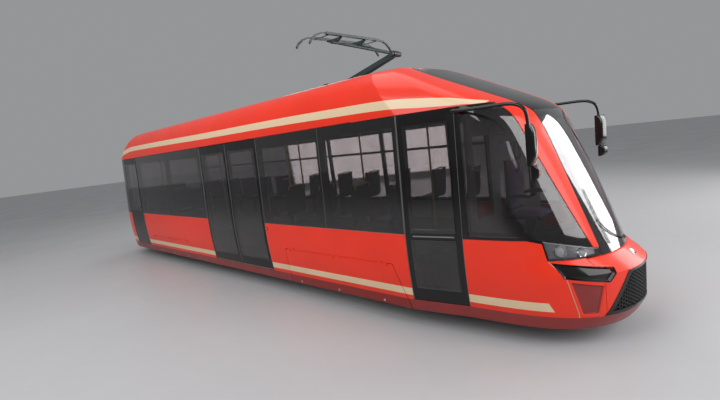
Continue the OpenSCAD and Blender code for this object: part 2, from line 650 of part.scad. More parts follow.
module wheelset(x) {
  g = gauge / 2;
  color(steel) translate([x, 0, axle_z]) rotate([90, 0, 0]) {
    cylinder(h = 2 * beam_y + 90, r = axle_r, center = true);
    for (s = [0, 1]) mirror([0, 0, s]) rotate_extrude() polygon([[axle_r - 5, g - 45], [150, g - 45], [160, g - 12],
      [wheel_r - 60, g - 10], [wheel_r - 50, g - 30], [wheel_r + flange_h - 8, g - 30], [wheel_r + flange_h, g - 22],
      [wheel_r + flange_h - 3, g - 10], [wheel_r + 3, g + 1], [wheel_r, g + 12], [wheel_r - 4, g + 66],
      [wheel_r - 50, g + 66], [wheel_r - 60, g + 40], [160, g + 38], [150, g + 66], [axle_r - 5, g + 66]]);
    translate([0, 0, -250]) cylinder(h = 50, r = 210);
  }
}
module bogie_front() bogie(bogie_x);
module bogie_rear() bogie(-bogie_x);
module wheelset_a() wheelset(bogie_x + wheelbase / 2);
module wheelset_b() wheelset(bogie_x - wheelbase / 2);
module wheelset_c() wheelset(-bogie_x + wheelbase / 2);
module wheelset_d() wheelset(-bogie_x - wheelbase / 2);

// pantograph: foot pivot, knee and head pivot in the side view
p_foot = [panto_x, 0, roof_z + 60];
lower_a = 13;
p_knee = [panto_x + lower_arm * cos(lower_a), 0, p_foot[2] + lower_arm * sin(lower_a)];
p_head = [panto_x + 250, 0, roof_z + 700];
upper_arm = norm([p_head[0] - p_knee[0], p_head[2] - p_knee[2]]);
module arm(a, b, ya, yb, r) {
  hull() {
    translate([a[0], ya, a[2]]) sphere(r = r, $fn = 24);
    translate([b[0], yb, b[2]]) sphere(r = r, $fn = 24);
  }
}
module panto_base() {
  z = roof_z - 130;
  color([0.11, 0.18, 0.18]) difference() {
    union() {
      for (s = [-1, 1]) {
        box([panto_x - 260, s * 470 - 25, z + 60], [panto_x + 700, s * 470 + 25, z + 110]);
        for (x = [panto_x - 220, panto_x + 640]) rod_z(z, z + 70, x, s * 470, 38);
        box([panto_x - 45, s * 330 - 20, z + 60], [panto_x + 45, s * 330 + 20, p_foot[2] + 45]);
      }
      box([panto_x - 60, -490, z + 60], [panto_x + 60, 490, z + 105]);
      box([panto_x + 560, -490, z + 60], [panto_x + 620, 490, z + 105]);
    }
    rod_y(-400, 400, p_foot[0], p_foot[2], 22 + clear);
  }
}
module panto_lower() {
  color([0.11, 0.18, 0.18]) {
    rod_y(-352, 352, p_foot[0], p_foot[2], 22);
    rod_y(-220, 220, p_foot[0], p_foot[2], 45);
    difference() {
      union() {
        hull() {
          translate([p_foot[0], 0, p_foot[2]]) rotate([90, 0, 0]) cylinder(h = 120, r = 42, center = true, $fn = 32);
          translate([p_knee[0], 0, p_knee[2]]) rotate([90, 0, 0]) cylinder(h = 80, r = 34, center = true, $fn = 32);
        }
        rod_y(-60, 60, p_knee[0], p_knee[2], 45);
      }
      rod_y(-100, 100, p_knee[0], p_knee[2], 18 + clear);
    }
  }
}
module panto_upper() {
  color([0.11, 0.18, 0.18]) {
    rod_y(-110, 110, p_knee[0], p_knee[2], 18);
    for (s = [-1, 1]) {
      rod_y(s * 88 - 20, s * 88 + 20, p_knee[0], p_knee[2], 36);
      arm(p_knee, p_head, s * 88, s * 330, 17);
      rod_y(s * 330 - 20, s * 330 + 20, p_head[0], p_head[2], 24);
    }
    rod_y(-350, 350, p_head[0], p_head[2], 12);
    arm(mid_arm, mid_arm, -150, 150, 13);
  }
}
mid_arm = [mix(p_knee[0], p_head[0], 0.3), 0, mix(p_knee[2], p_head[2], 0.3)];
module panto_head() {
  z = p_head[2];
  x = p_head[0];
  color([0.11, 0.18, 0.18]) {
    difference() {
      for (s = [-1, 1]) hull() {
        rod_y(s * 270 - 14, s * 270 + 14, x, z, 24);
        box([x - 170, s * 270 - 14, z + 50], [x + 170, s * 270 + 14, z + 62]);
      }
      rod_y(-400, 400, x, z, 12 + clear);
    }
    for (d = [-150, 150]) {
      box([x + d - 25, -strip_half, z + 60], [x + d + 25, strip_half, z + 90]);
      both() translate([x + d - 16, 0, z]) rotate([90, 0, 90]) linear_extrude(height = 32) polygon([
        [-strip_half + 5, 62], [-strip_half + 5, 86], [-strip_half - 110, 76], [-strip_half - 210, 42], [-strip_half - 290, -16],
        [-strip_half - 345, -90], [-strip_half - 325, -106], [-strip_half - 270, -36], [-strip_half - 196, 20],
        [-strip_half - 104, 54]]);
    }
    for (s = [-1, 1]) box([x - 160, s * (strip_half - 60) - 12, z + 50], [x + 160, s * (strip_half - 60) + 12, z + 62]);
  }
}

underframe();
bolsters();
jack_arms();
tow_brackets();
under_boxes();
floor();
side_panels();
side_skirts();
window_bands();
side_glass();
roof_sides();
roof_deck();
roof_boxes();
front_roof();
brow();
windscreen();
front_pillars();
cab_glass();
corner_posts();
cheeks();
lamps();
hood();
grille();
end_skirts();
rear_roof();
rear_panel();
rear_glass();
door_portals();
door_leaves();
door_glass();
seats();
handrails();
driver_place();
cab_wall();
mirrors();
cab_door();
hatch_front_right();
hatch_front_left();
hatch_rear_right();
hatch_rear_left();
bogie_front();
bogie_rear();
wheelset_a();
wheelset_b();
wheelset_c();
wheelset_d();
panto_base();
panto_lower();
panto_upper();
panto_head();
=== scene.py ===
"""A single-car low-floor tram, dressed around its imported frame."""

import logging
import math
from collections.abc import Callable, Sequence
from dataclasses import dataclass, field
from enum import Enum

import bmesh
import bpy
from mathutils import Matrix, Vector


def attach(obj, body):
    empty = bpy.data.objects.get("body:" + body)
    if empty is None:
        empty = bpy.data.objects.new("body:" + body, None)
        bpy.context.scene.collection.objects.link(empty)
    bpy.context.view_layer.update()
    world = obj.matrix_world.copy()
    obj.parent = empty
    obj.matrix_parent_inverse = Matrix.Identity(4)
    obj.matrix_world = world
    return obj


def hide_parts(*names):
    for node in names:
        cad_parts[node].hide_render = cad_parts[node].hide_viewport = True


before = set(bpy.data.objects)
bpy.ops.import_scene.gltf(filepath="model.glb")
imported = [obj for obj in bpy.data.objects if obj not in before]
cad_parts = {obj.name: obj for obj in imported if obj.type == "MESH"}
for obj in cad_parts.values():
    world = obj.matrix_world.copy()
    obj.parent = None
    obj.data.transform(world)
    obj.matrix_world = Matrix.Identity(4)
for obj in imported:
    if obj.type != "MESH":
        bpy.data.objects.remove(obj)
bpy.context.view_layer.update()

LOG = logging.getLogger("tram")

Point = tuple[float, float, float]
Curve = float | Callable[[float], float]


def clamp(value: float, low: float, high: float) -> float:
    """Return value held between low and high."""
    return max(low, min(high, value))


def mix(a: float, b: float, share: float) -> float:
    """Return the value a share of the way from a to b."""
    return a + (b - a) * share


def steps(a: float, b: float, count: int) -> list[float]:
    """Return count + 1 evenly spaced values from a to b."""
    return [mix(a, b, i / count) for i in range(count + 1)]


def at(curve: Curve, value: float) -> float:
    """Return a curve's value, or the constant it is."""
    return curve(value) if callable(curve) else curve


def spline(points: Sequence[Point], parts: int = 6) -> list[Point]:
    """Round a polyline off into a smooth path.

    Args:
        points: the corners the path passes through.
        parts: how many short pieces each span is cut into.

    Returns:
        The points of the smooth path.
    """
    pts = [Vector(p) for p in points]
    pts = [pts[0] * 2 - pts[1], *pts, pts[-1] * 2 - pts[-2]]
    path: list[Point] = []
    for a, b, c, d in zip(pts, pts[1:], pts[2:], pts[3:]):
        for k in range(parts):
            t = k / parts
            path.append(tuple(0.5 * (2 * b + (c - a) * t + (2 * a - 5 * b + 4 * c - d) * t * t
                                     + (3 * b - a - 3 * c + d) * t ** 3)))
    path.append(tuple(pts[-2]))
    return path


class End(Enum):
    """The two ends of the car."""

    FRONT = 0
    REAR = 1


class Grain(Enum):
    """The kinds of surface detail a finish can have."""

    MOTTLED = "mottled"
    BRUSHED = "brushed"
    WOVEN = "woven"
    SPECKLED = "speckled"
    RIBBED = "ribbed"


@dataclass(frozen=True)
class EndForm:
    """Where one end of the body starts to close in, and how round it is."""

    base: float
    taper: float
    corner: float
    width: float
    power: float
    tuck: float


@dataclass(frozen=True)
class BodyForm:
    """The outer form of the car body, in metres."""

    half_length: float = 6.4
    half_width: float = 1.2
    skirt: float = 0.22
    sill: float = 0.36
    waist: float = 1.21
    band: float = 2.65
    roof: float = 3.27
    hood_edge: float = 0.80
    hood_top: float = 0.95
    screen_top: float = 2.52
    front: EndForm = EndForm(3.4, 4.14, 4.863, 0.892, 4.016, 0.119)
    rear: EndForm = EndForm(4.5, 5.1, 5.3, 1.0, 3.4, 0.08)

    def side_y(self, z: float, t: float = 0.0) -> float:
        """Return the half width at height z, inset by t.

        Args:
            z: height over the rail.
            t: depth below the skin.

        Returns:
            The distance from the centre line.
        """
        if z < self.waist:
            return self.half_width - 0.08 * ((self.waist - z) / (self.waist - self.skirt)) ** 2.2 - t
        if z <= self.band:
            return self.half_width - 0.04 * (z - self.waist) / (self.band - self.waist) - t
        k = clamp((z - self.band) / (self.roof - self.band), 0, 1)
        return 0.76 + (0.4 - t) * math.sqrt(max(0.0, 1 - k * k))

    def side_z(self, z: float, t: float = 0.0) -> float:
        """Return the height of the inset skin, which drops under the roof's curve."""
        return z if z <= self.band else z - t * (z - self.band) / (self.roof - self.band)

    def soft_min(self, a: float, b: float, r: float) -> float:
        """Return the smaller of a and b, blended over a width r."""
        return (a + b) / 2 - math.hypot((a - b) / 2, r)

    def reach(self, end: End, z: float) -> float:
        """Return how far an end reaches from the middle at height z.

        Args:
            end: which end.
            z: height over the rail.

        Returns:
            The distance along the car.
        """
        low = clamp((0.45 - z) / 0.23, 0, 1) ** 2
        if end is End.REAR:
            if z < 1.0:
                return self.half_length - 0.06 * low
            return self.soft_min(self.half_length - 0.15 * (z - 1), self.half_length - 0.25 - 2 * (z - 2.75), 0.05)
        if z < self.hood_edge:
            return self.half_length - 0.1 * low
        if z < self.hood_top:
            return mix(self.half_length, 6.592 - 0.401 * 0.95, (z - 0.8) / 0.15)
        return self.soft_min(6.592 - 0.401 * z, 5.021 - 2.213 * (z - 2.8), 0.091)

    def skin(self, end: End, u: float, z: float, t: float = 0.0) -> Point:
        """Return a point of an end's skin.

        Args:
            end: which end.
            u: -2 to -1 is the straight side, -1 to 0 the tapered side, 0 to 1 the curve to the middle.
            z: height over the rail.
            t: depth below the skin.

        Returns:
            The point, on the right for u below 1 and on the left above it.
        """
        if u > 1:
            x, y, zz = self.skin(end, 2 - u, z, t)
            return x, -y, zz
        form = self.front if end is End.FRONT else self.rear
        sign = 1 if end is End.FRONT else -1
        tip = self.reach(end, z)
        m = min(1.0, (tip - form.base) / (self.reach(end, self.band) - form.base))
        x1 = form.base + (form.taper - form.base) * m
        xd = form.base + (form.corner - form.base) * m
        h = self.side_y(z, t)
        yd = self.side_y(z) * form.width - (self.side_y(z) - h)
        zz = self.side_z(z, t)
        if u < -1:
            return sign * (x1 + (x1 - form.base) * (u + 1)), -h, zz
        if u < 0:
            return sign * mix(x1, xd, u + 1), -mix(h, yd, u + 1), zz
        s = 1 - (1 - u) ** 2
        y = yd * (1 - form.tuck * s) * math.sqrt(max(0.0, 1 - s ** form.power))
        return sign * mix(xd, tip - 1.1 * t, s), -y, zz

    def side_at(self, end: End, y: float, z: float) -> float:
        """Return the u at which an end's skin is y from the middle on the right.

        Args:
            end: which end.
            y: distance from the middle.
            z: height over the rail.

        Returns:
            The u between 0 and 1.
        """
        low, high = 0.0, 1.0
        for _ in range(24):
            u = (low + high) / 2
            low, high = (u, high) if -self.skin(end, u, z)[1] > y else (low, u)
        return low

    def pillar_out(self, z: float) -> float:
        """Return the outer edge of the front pillar at height z."""
        return clamp(0.70 - 0.15 * (z - 1.08) / 1.23, 0.50, 0.72)

    def pillar_in(self, z: float) -> float:
        """Return the inner edge of the front pillar at height z."""
        return 0.75 - 0.17 * max(0.0, z - self.screen_top) / (self.roof - self.screen_top)

    def waist_line(self, u: float) -> float:
        """Return the lower edge of the front glass at u."""
        return self.waist - 0.17 * clamp((u - 0.32) / 0.40, 0, 1)


FORM = BodyForm()
COVER_GAP = 0.008
Quad = tuple[tuple[float, float], tuple[float, float], tuple[float, float], tuple[float, float]]


@dataclass(frozen=True)
class Dent:
    """A pressed recess in the front skin, between four corners in u and z."""

    corners: Quad
    depth: float
    ramp: float = 0.018

    def depth_at(self, u: float, z: float) -> float:
        """Return how deep the skin is pressed in at a point.

        Args:
            u: place round the end.
            z: height over the rail.

        Returns:
            The depth, 0 outside the recess.
        """
        u = 2 - u if u > 1 and max(c[0] for c in self.corners) <= 1 else u
        inside = 1.0
        for (ua, za), (ub, zb) in zip(self.corners, self.corners[1:] + self.corners[:1]):
            du, dz = (ub - ua) * 1.1, zb - za
            away = ((u - ua) * 1.1 * dz - (z - za) * du) / math.hypot(du, dz)
            inside = min(inside, clamp(away / self.ramp, 0, 1))
        return self.depth * inside * inside * (3 - 2 * inside)


DENTS = (
    Dent(((0.412, 0.790), (0.415, 0.945), (0.725, 0.850), (0.655, 0.715)), 0.034),
    Dent(((0.490, 0.395), (0.440, 0.755), (0.625, 0.690), (0.585, 0.395)), 0.020),
    Dent(((0.655, 0.385), (0.815, 0.772), (1.185, 0.772), (1.345, 0.385)), 0.032),
)
LAMP_DENT, GRILLE_DENT = DENTS[0], DENTS[2]


def nose(u: float, z: float, t: float) -> Point:
    """Return a point of the front skin with its pressed recesses."""
    return FORM.skin(End.FRONT, u, z, t + sum(d.depth_at(u, z) for d in DENTS))


class Bag:
    """Collects the faces of one piece and makes the piece from them."""

    def __init__(self) -> None:
        """Start with no faces."""
        self.points: list[Point] = []
        self.faces: list[tuple[int, ...]] = []
        self.tags: list[int] = []

    def add(self, points: Sequence[Point], faces: Sequence[Sequence[int]], tag: int = 0) -> None:
        """Add faces, given with their own points.

        Args:
            points: the corners.
            faces: the faces, as numbers of corners.
            tag: which of the piece's finishes they take.
        """
        n = len(self.points)
        self.points += [tuple(p) for p in points]
        self.faces += [tuple(n + i for i in f) for f in faces]
        self.tags += [tag] * len(faces)

    def both(self) -> "Bag":
        """Add the same faces again on the other side of the car.

        Returns:
            The bag itself.
        """
        n = len(self.points)
        self.points += [(x, -y, z) for x, y, z in self.points]
        self.faces += [tuple(n + i for i in reversed(f)) for f in self.faces]
        self.tags += self.tags
        return self

    def box(self, low: Sequence[float], high: Sequence[float], tag: int = 0, turn: float = 0.0) -> None:
        """Add a block between two corners.

        Args:
            low: one corner.
            high: the opposite corner.
            tag: which finish it takes.
            turn: how far it is turned round its own upright axis, in degrees.
        """
        mid = (Vector(low) + Vector(high)) / 2
        spin = Matrix.Rotation(math.radians(turn), 3, "Z")
        pts = [(x, y, z) for z in (low[2], high[2]) for y in (low[1], high[1]) for x in (low[0], high[0])]
        self.add([tuple(mid + spin @ (Vector(p) - mid)) for p in pts],
                 ((0, 1, 3, 2), (4, 6, 7, 5), (0, 4, 5, 1), (2, 3, 7, 6), (0, 2, 6, 4), (1, 5, 7, 3)), tag)

    def tube(self, path: Sequence[Point], radius: Curve, sides: int = 20, tag: int = 0,
             flat: float = 1.0) -> None:
        """Add a closed tube along a path.

        Args:
            path: the points of its middle line.
            radius: its radius, or a curve of it over 0 to 1 along the path.
            sides: how many faces it has round it.
            tag: which finish it takes.
            flat: how thick it is against its width.
        """
        pts = [Vector(p) for p in path]
        side = Vector((0, 0, 1)) if abs((pts[1] - pts[0]).normalized().z) < 0.9 else Vector((1, 0, 0))
        rings: list[Point] = []
        for i, p in enumerate(pts):
            way = (pts[min(i + 1, len(pts) - 1)] - pts[max(i - 1, 0)]).normalized()
            side = (side - way * side.dot(way)).normalized()
            other = way.cross(side)
            r = at(radius, i / (len(pts) - 1))
            rings += [tuple(p + side * r * flat * math.cos(a) + other * r * math.sin(a))
                      for a in (2 * math.pi * k / sides for k in range(sides))]
        faces = [(i * sides + k, i * sides + (k + 1) % sides, (i + 1) * sides + (k + 1) % sides,
                  (i + 1) * sides + k) for i in range(len(pts) - 1) for k in range(sides)]
        faces += [tuple(reversed(range(sides))), tuple(range(len(rings) - sides, len(rings)))]
        self.add(rings, faces, tag)

    def lathe(self, profile: Sequence[tuple[float, float]], origin: Sequence[float], axis: Sequence[float],
              sides: int = 32, tag: int = 0) -> None:
        """Add a turned solid.

        Args:
            profile: radius and distance along the axis, from one end to the other.
            origin: where the axis starts.
            axis: the way it points.
            sides: how many faces it has round it.
            tag: which finish it takes.
        """
        way = Vector(axis).normalized()
        side = way.orthogonal().normalized()
        other = way.cross(side)
        rings = [tuple(Vector(origin) + way * h + (side * math.cos(a) + other * math.sin(a)) * max(r, 1e-4))
                 for r, h in profile for a in (2 * math.pi * k / sides for k in range(sides))]
        faces = [(i * sides + k, i * sides + (k + 1) % sides, (i + 1) * sides + (k + 1) % sides,
                  (i + 1) * sides + k) for i in range(len(profile) - 1) for k in range(sides)]
        faces += [tuple(reversed(range(sides))), tuple(range(len(rings) - sides, len(rings)))]
        self.add(rings, faces, tag)

    def shell(self, place: Callable[[float, float, float], Point], us: Sequence[Curve], vs: Sequence[float],
              t0: Curve, t1: Curve, keep: Callable[[float, float], bool] | None = None, tag: int = 0) -> None:
        """Add a closed skin of some thickness over a grid.

        Args:
            place: gives the point at u, v and depth.
            us: the grid's first values, or curves of them over v.
            vs: the grid's second values.
            t0: depth of the outer face.
            t1: depth of the inner face.
            keep: says which cells are there, from the middle of each.
            tag: which finish it takes.
        """
        def kept(i: int, j: int) -> bool:
            """Say whether a cell is there.

            Args:
                i: the cell's place among the first values.
                j: its place among the second values.

            Returns:
                True if the cell is there.
            """
            if not (0 <= i < len(us) - 1 and 0 <= j < len(vs) - 1):
                return False
            v = (vs[j] + vs[j + 1]) / 2
            return keep is None or keep((at(us[i], v) + at(us[i + 1], v)) / 2, v)

        def corner(i: int, j: int, face: int) -> int:
            """Return the number of a grid point, made when first used.

            Args:
                i: the point's place among the first values.
                j: its place among the second values.
                face: 0 for the outer face, 1 for the inner.

            Returns:
                The point's number.
            """
            if (i, j, face) not in used:
                used[i, j, face] = len(points)
                points.append(place(at(us[i], vs[j]), vs[j], at((t0, t1)[face], vs[j])))
            return used[i, j, face]

        used: dict[tuple[int, int, int], int] = {}
        points: list[Point] = []
        faces: list[tuple[int, ...]] = []
        for i in range(len(us) - 1):
            for j in range(len(vs) - 1):
                if not kept(i, j):
                    continue
                ring = [(i, j), (i + 1, j), (i + 1, j + 1), (i, j + 1)]
                faces.append(tuple(corner(*c, 0) for c in ring))
                faces.append(tuple(corner(*c, 1) for c in reversed(ring)))
                beyond = [(i, j - 1), (i + 1, j), (i, j + 1), (i - 1, j)]
                for a, b, cell in zip(ring, ring[1:] + ring[:1], beyond):
                    if not kept(*cell):
                        faces.append((corner(*b, 0), corner(*a, 0), corner(*a, 1), corner(*b, 1)))
        self.add(points, faces, tag)

    def wall(self, us: Sequence[Curve], zs: Sequence[float], t0: float, t1: float,
             keep: Callable[[float, float], bool] | None = None, tag: int = 0) -> None:
        """Add a stretch of the right side wall between lengths us and heights zs."""
        self.shell(lambda x, z, t: (x, -FORM.side_y(z, t), FORM.side_z(z, t)), us, zs, t0, t1, keep, tag)

    def panel(self, end: End, sides: tuple[Curve, Curve], heights: tuple[Curve, Curve], t0: Curve, t1: Curve,
              cells: tuple[int, int], tag: int = 0,
              keep: Callable[[float, float], bool] | None = None) -> None:
        """Add a curved panel of an end, whose edges may be curves of each other.

        Args:
            end: which end.
            sides: its two edges round the end.
            heights: its lower and upper edge.
            t0: depth of the outer face.
            t1: depth of the inner face.
            cells: how many cells it has round and up.
            tag: which finish it takes.
            keep: says which cells are there, from shares of the way round and up.
        """
        def place(a: float, b: float, t: float) -> Point:
            """Return the point at shares a and b of the panel.

            Args:
                a: share of the way round.
                b: share of the way up.
                t: depth below the skin.

            Returns:
                The point.
            """
            z = 1.8
            for _ in range(6):
                u = mix(at(sides[0], z), at(sides[1], z), a)
                z = mix(at(heights[0], u), at(heights[1], u), b)
            return nose(u, z, t) if end is End.FRONT else FORM.skin(end, u, z, t)

        self.shell(place, steps(0, 1, cells[0]), steps(0, 1, cells[1]), t0, t1, keep, tag)

    def patch(self, corners: Quad, t0: float, t1: float, cells: tuple[int, int], tag: int = 0) -> None:
        """Add a four-cornered patch that lies in the front skin.

        Args:
            corners: lower right, upper right, upper left and lower left, each as u and z.
            t0: depth of the outer face.
            t1: depth of the inner face.
            cells: how many cells it has round and up.
            tag: which finish it takes.
        """
        (ua, za), (ub, zb), (uc, zc), (ud, zd) = corners
        self.shell(lambda a, b, t: nose(mix(mix(ua, ud, a), mix(ub, uc, a), b),
                                        mix(mix(za, zd, a), mix(zb, zc, a), b), t),
                   steps(0, 1, cells[0]), steps(0, 1, cells[1]), t0, t1, None, tag)

    def make(self, name: str, body: str, finishes: Sequence[bpy.types.Material], slot: str,
             edge: float = 0.002, stands_for: Sequence[str] = (), rounds: int = 0) -> bpy.types.Object:
        """Make the piece and let it ride on a body.

        Args:
            name: the piece's name.
            body: the body it rides on.
            finishes: its materials, in the order of the tags.
            slot: not used.
            edge: how wide its edges are rounded.
            stands_for: the plain nodes it stands for.
            rounds: how many times it is subdivided.

        Returns:
            The piece.
        """
        mesh = bpy.data.meshes.new(name)
        mesh.from_pydata(self.points, [], self.faces)
        for finish in finishes:
            mesh.materials.append(finish)
        mesh.polygons.foreach_set("material_index", self.tags)
        work = bmesh.new()
        work.from_mesh(mesh)
        bmesh.ops.recalc_face_normals(work, faces=work.faces)
        for face in work.faces:
            face.smooth = True
        work.to_mesh(mesh)
        work.free()
        mesh.set_sharp_from_angle(angle=math.radians(38))
        piece = bpy.data.objects.new(name, mesh)
        bpy.context.scene.collection.objects.link(piece)
        if edge:
            bevel = piece.modifiers.new("edges", "BEVEL")
            bevel.width, bevel.segments, bevel.limit_method = edge, 2, "ANGLE"
            bevel.angle_limit = math.radians(42)
            bevel.harden_normals = True
        if rounds:
            piece.modifiers.new("round", "SUBSURF").levels = rounds
            piece.modifiers["round"].render_levels = rounds
        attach(piece, body)
        if stands_for:
            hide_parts(*stands_for)
        LOG.info("%s: %d faces on %s", name, len(self.faces), body)
        return piece


class Graph:
    """A material's nodes, built by short calls."""

    def __init__(self, name: str) -> None:
        """Start a material with its one shader and the object's own coordinates.

        Args:
            name: the material's name.
        """
        self.material = bpy.data.materials.new(name)
        self.material.use_nodes = True
        self.tree = self.material.node_tree
        self.shader = self.tree.nodes["Principled BSDF"]
        self.place = self.tree.nodes.new("ShaderNodeTexCoord").outputs["Object"]

    def node(self, kind: str, inputs: dict[str | int, object], **settings: object) -> bpy.types.Node:
        """Add a node.

        Args:
            kind: its type.
            inputs: its inputs, each a plain value or another node's output.
            settings: its own settings.

        Returns:
            The node.
        """
        made = self.tree.nodes.new(kind)
        for key, value in settings.items():
            setattr(made, key, value)
        for key, value in inputs.items():
            if isinstance(value, bpy.types.NodeSocket):
                self.tree.links.new(value, made.inputs[key])
            else:
                made.inputs[key].default_value = value
        return made

    def maths(self, operation: str, a: object, b: object = 0.0, c: object = 0.0) -> bpy.types.NodeSocket:
        """Return the result of one sum."""
        return self.node("ShaderNodeMath", {0: a, 1: b, 2: c}, operation=operation).outputs[0]

    def noise(self, scale: float, detail: float = 4.0, place: object = None) -> bpy.types.NodeSocket:
        """Return a soft noise over the object."""
        inputs = {"Vector": place or self.place, "Scale": scale, "Detail": detail}
        return self.node("ShaderNodeTexNoise", inputs).outputs[0]

    def span(self, value: object, low: float, high: float, to: tuple[float, float]) -> bpy.types.NodeSocket:
        """Return a value stretched from one span to another, held at its ends."""
        inputs = {0: value, 1: low, 2: high, 3: to[0], 4: to[1]}
        return self.node("ShaderNodeMapRange", inputs, clamp=True).outputs[0]

    def blend(self, share: object, a: object, b: object) -> bpy.types.NodeSocket:
        """Return a colour between a and b."""
        inputs = {0: share, 6: a, 7: b}
        return self.node("ShaderNodeMix", inputs, data_type="RGBA").outputs[2]

    def stretch(self, scale: Point) -> bpy.types.NodeSocket:
        """Return the coordinates stretched by three factors."""
        return self.node("ShaderNodeMapping", {"Vector": self.place, "Scale": scale}).outputs[0]

    def set(self, **values: object) -> None:
        """Set the shader's inputs, named with underscores for spaces.

        Args:
            values: the inputs' values, each plain or another node's output.
        """
        for key, value in values.items():
            socket = self.shader.inputs[key.replace("_", " ")]
            if isinstance(value, bpy.types.NodeSocket):
                self.tree.links.new(value, socket)
            else:
                socket.default_value = value

    def relief(self, height: object, depth: float, strength: float = 1.0) -> None:
        """Raise the surface by a height that other nodes give."""
        inputs = {"Height": height, "Distance": depth, "Strength": strength}
        self.set(Normal=self.node("ShaderNodeBump", inputs).outputs[0])


def shade(colour: Point) -> tuple[float, float, float, float]:
    """Return a colour with full cover."""
    return (*colour, 1.0)


@dataclass(frozen=True)
class Finish:
    """A finish with some surface detail."""

    name: str
    colour: Point
    second: Point
    grain: Grain = Grain.MOTTLED
    scale: float = 9.0
    rough: tuple[float, float] = (0.35, 0.5)
    metal: float = 0.0
    coat: float = 0.0
    depth: float = 0.0006
    sheen: float = 0.0
    shine: float = 0.5

    def pattern(self, graph: Graph) -> bpy.types.NodeSocket:
        """Return the height of the finish's own fine pattern.

        Args:
            graph: the material's nodes.

        Returns:
            A value from 0 to 1 over the surface.
        """
        if self.grain is Grain.BRUSHED:
            return graph.noise(self.scale, 5.0, graph.stretch((1.0, 14.0, 14.0)))
        if self.grain is Grain.SPECKLED:
            inputs = {"Vector": graph.place, "Scale": self.scale * 12}
            return graph.node("ShaderNodeTexVoronoi", inputs).outputs["Distance"]
        if self.grain in (Grain.WOVEN, Grain.RIBBED):
            waves = [graph.node("ShaderNodeTexWave", {"Vector": graph.place, "Scale": self.scale * 10},
                                bands_direction=d).outputs[1] for d in ("X", "Y", "Z")]
            if self.grain is Grain.RIBBED:
                return waves[1]
            return graph.maths("MAXIMUM", graph.maths("MULTIPLY", waves[0], waves[1]), waves[2])
        return graph.noise(self.scale * 14, 3.0)

    def colour_of(self, graph: Graph) -> bpy.types.NodeSocket:
        """Return the colour over the surface.

        Args:
            graph: the material's nodes.

        Returns:
            The colour at each point.
        """
        share = graph.maths("MULTIPLY_ADD", self.pattern(graph), 0.35, graph.span(
            graph.noise(self.scale), 0.35, 0.75, (0.0, 0.65)))
        return graph.blend(share, shade(self.colour), shade(self.second))

    def material(self) -> bpy.types.Material:
        """Return the material, made from its nodes.

        Returns:
            The material.
        """
        graph = Graph(self.name)
        graph.set(Base_Color=self.colour_of(graph), Metallic=self.metal, Coat_Weight=self.coat,
                  Coat_Roughness=0.06, Sheen_Weight=self.sheen, Specular_IOR_Level=self.shine,
                  Roughness=graph.span(graph.noise(self.scale * 2), 0.3, 0.7, self.rough))
        graph.relief(self.pattern(graph), self.depth, 0.5)
        return graph.material


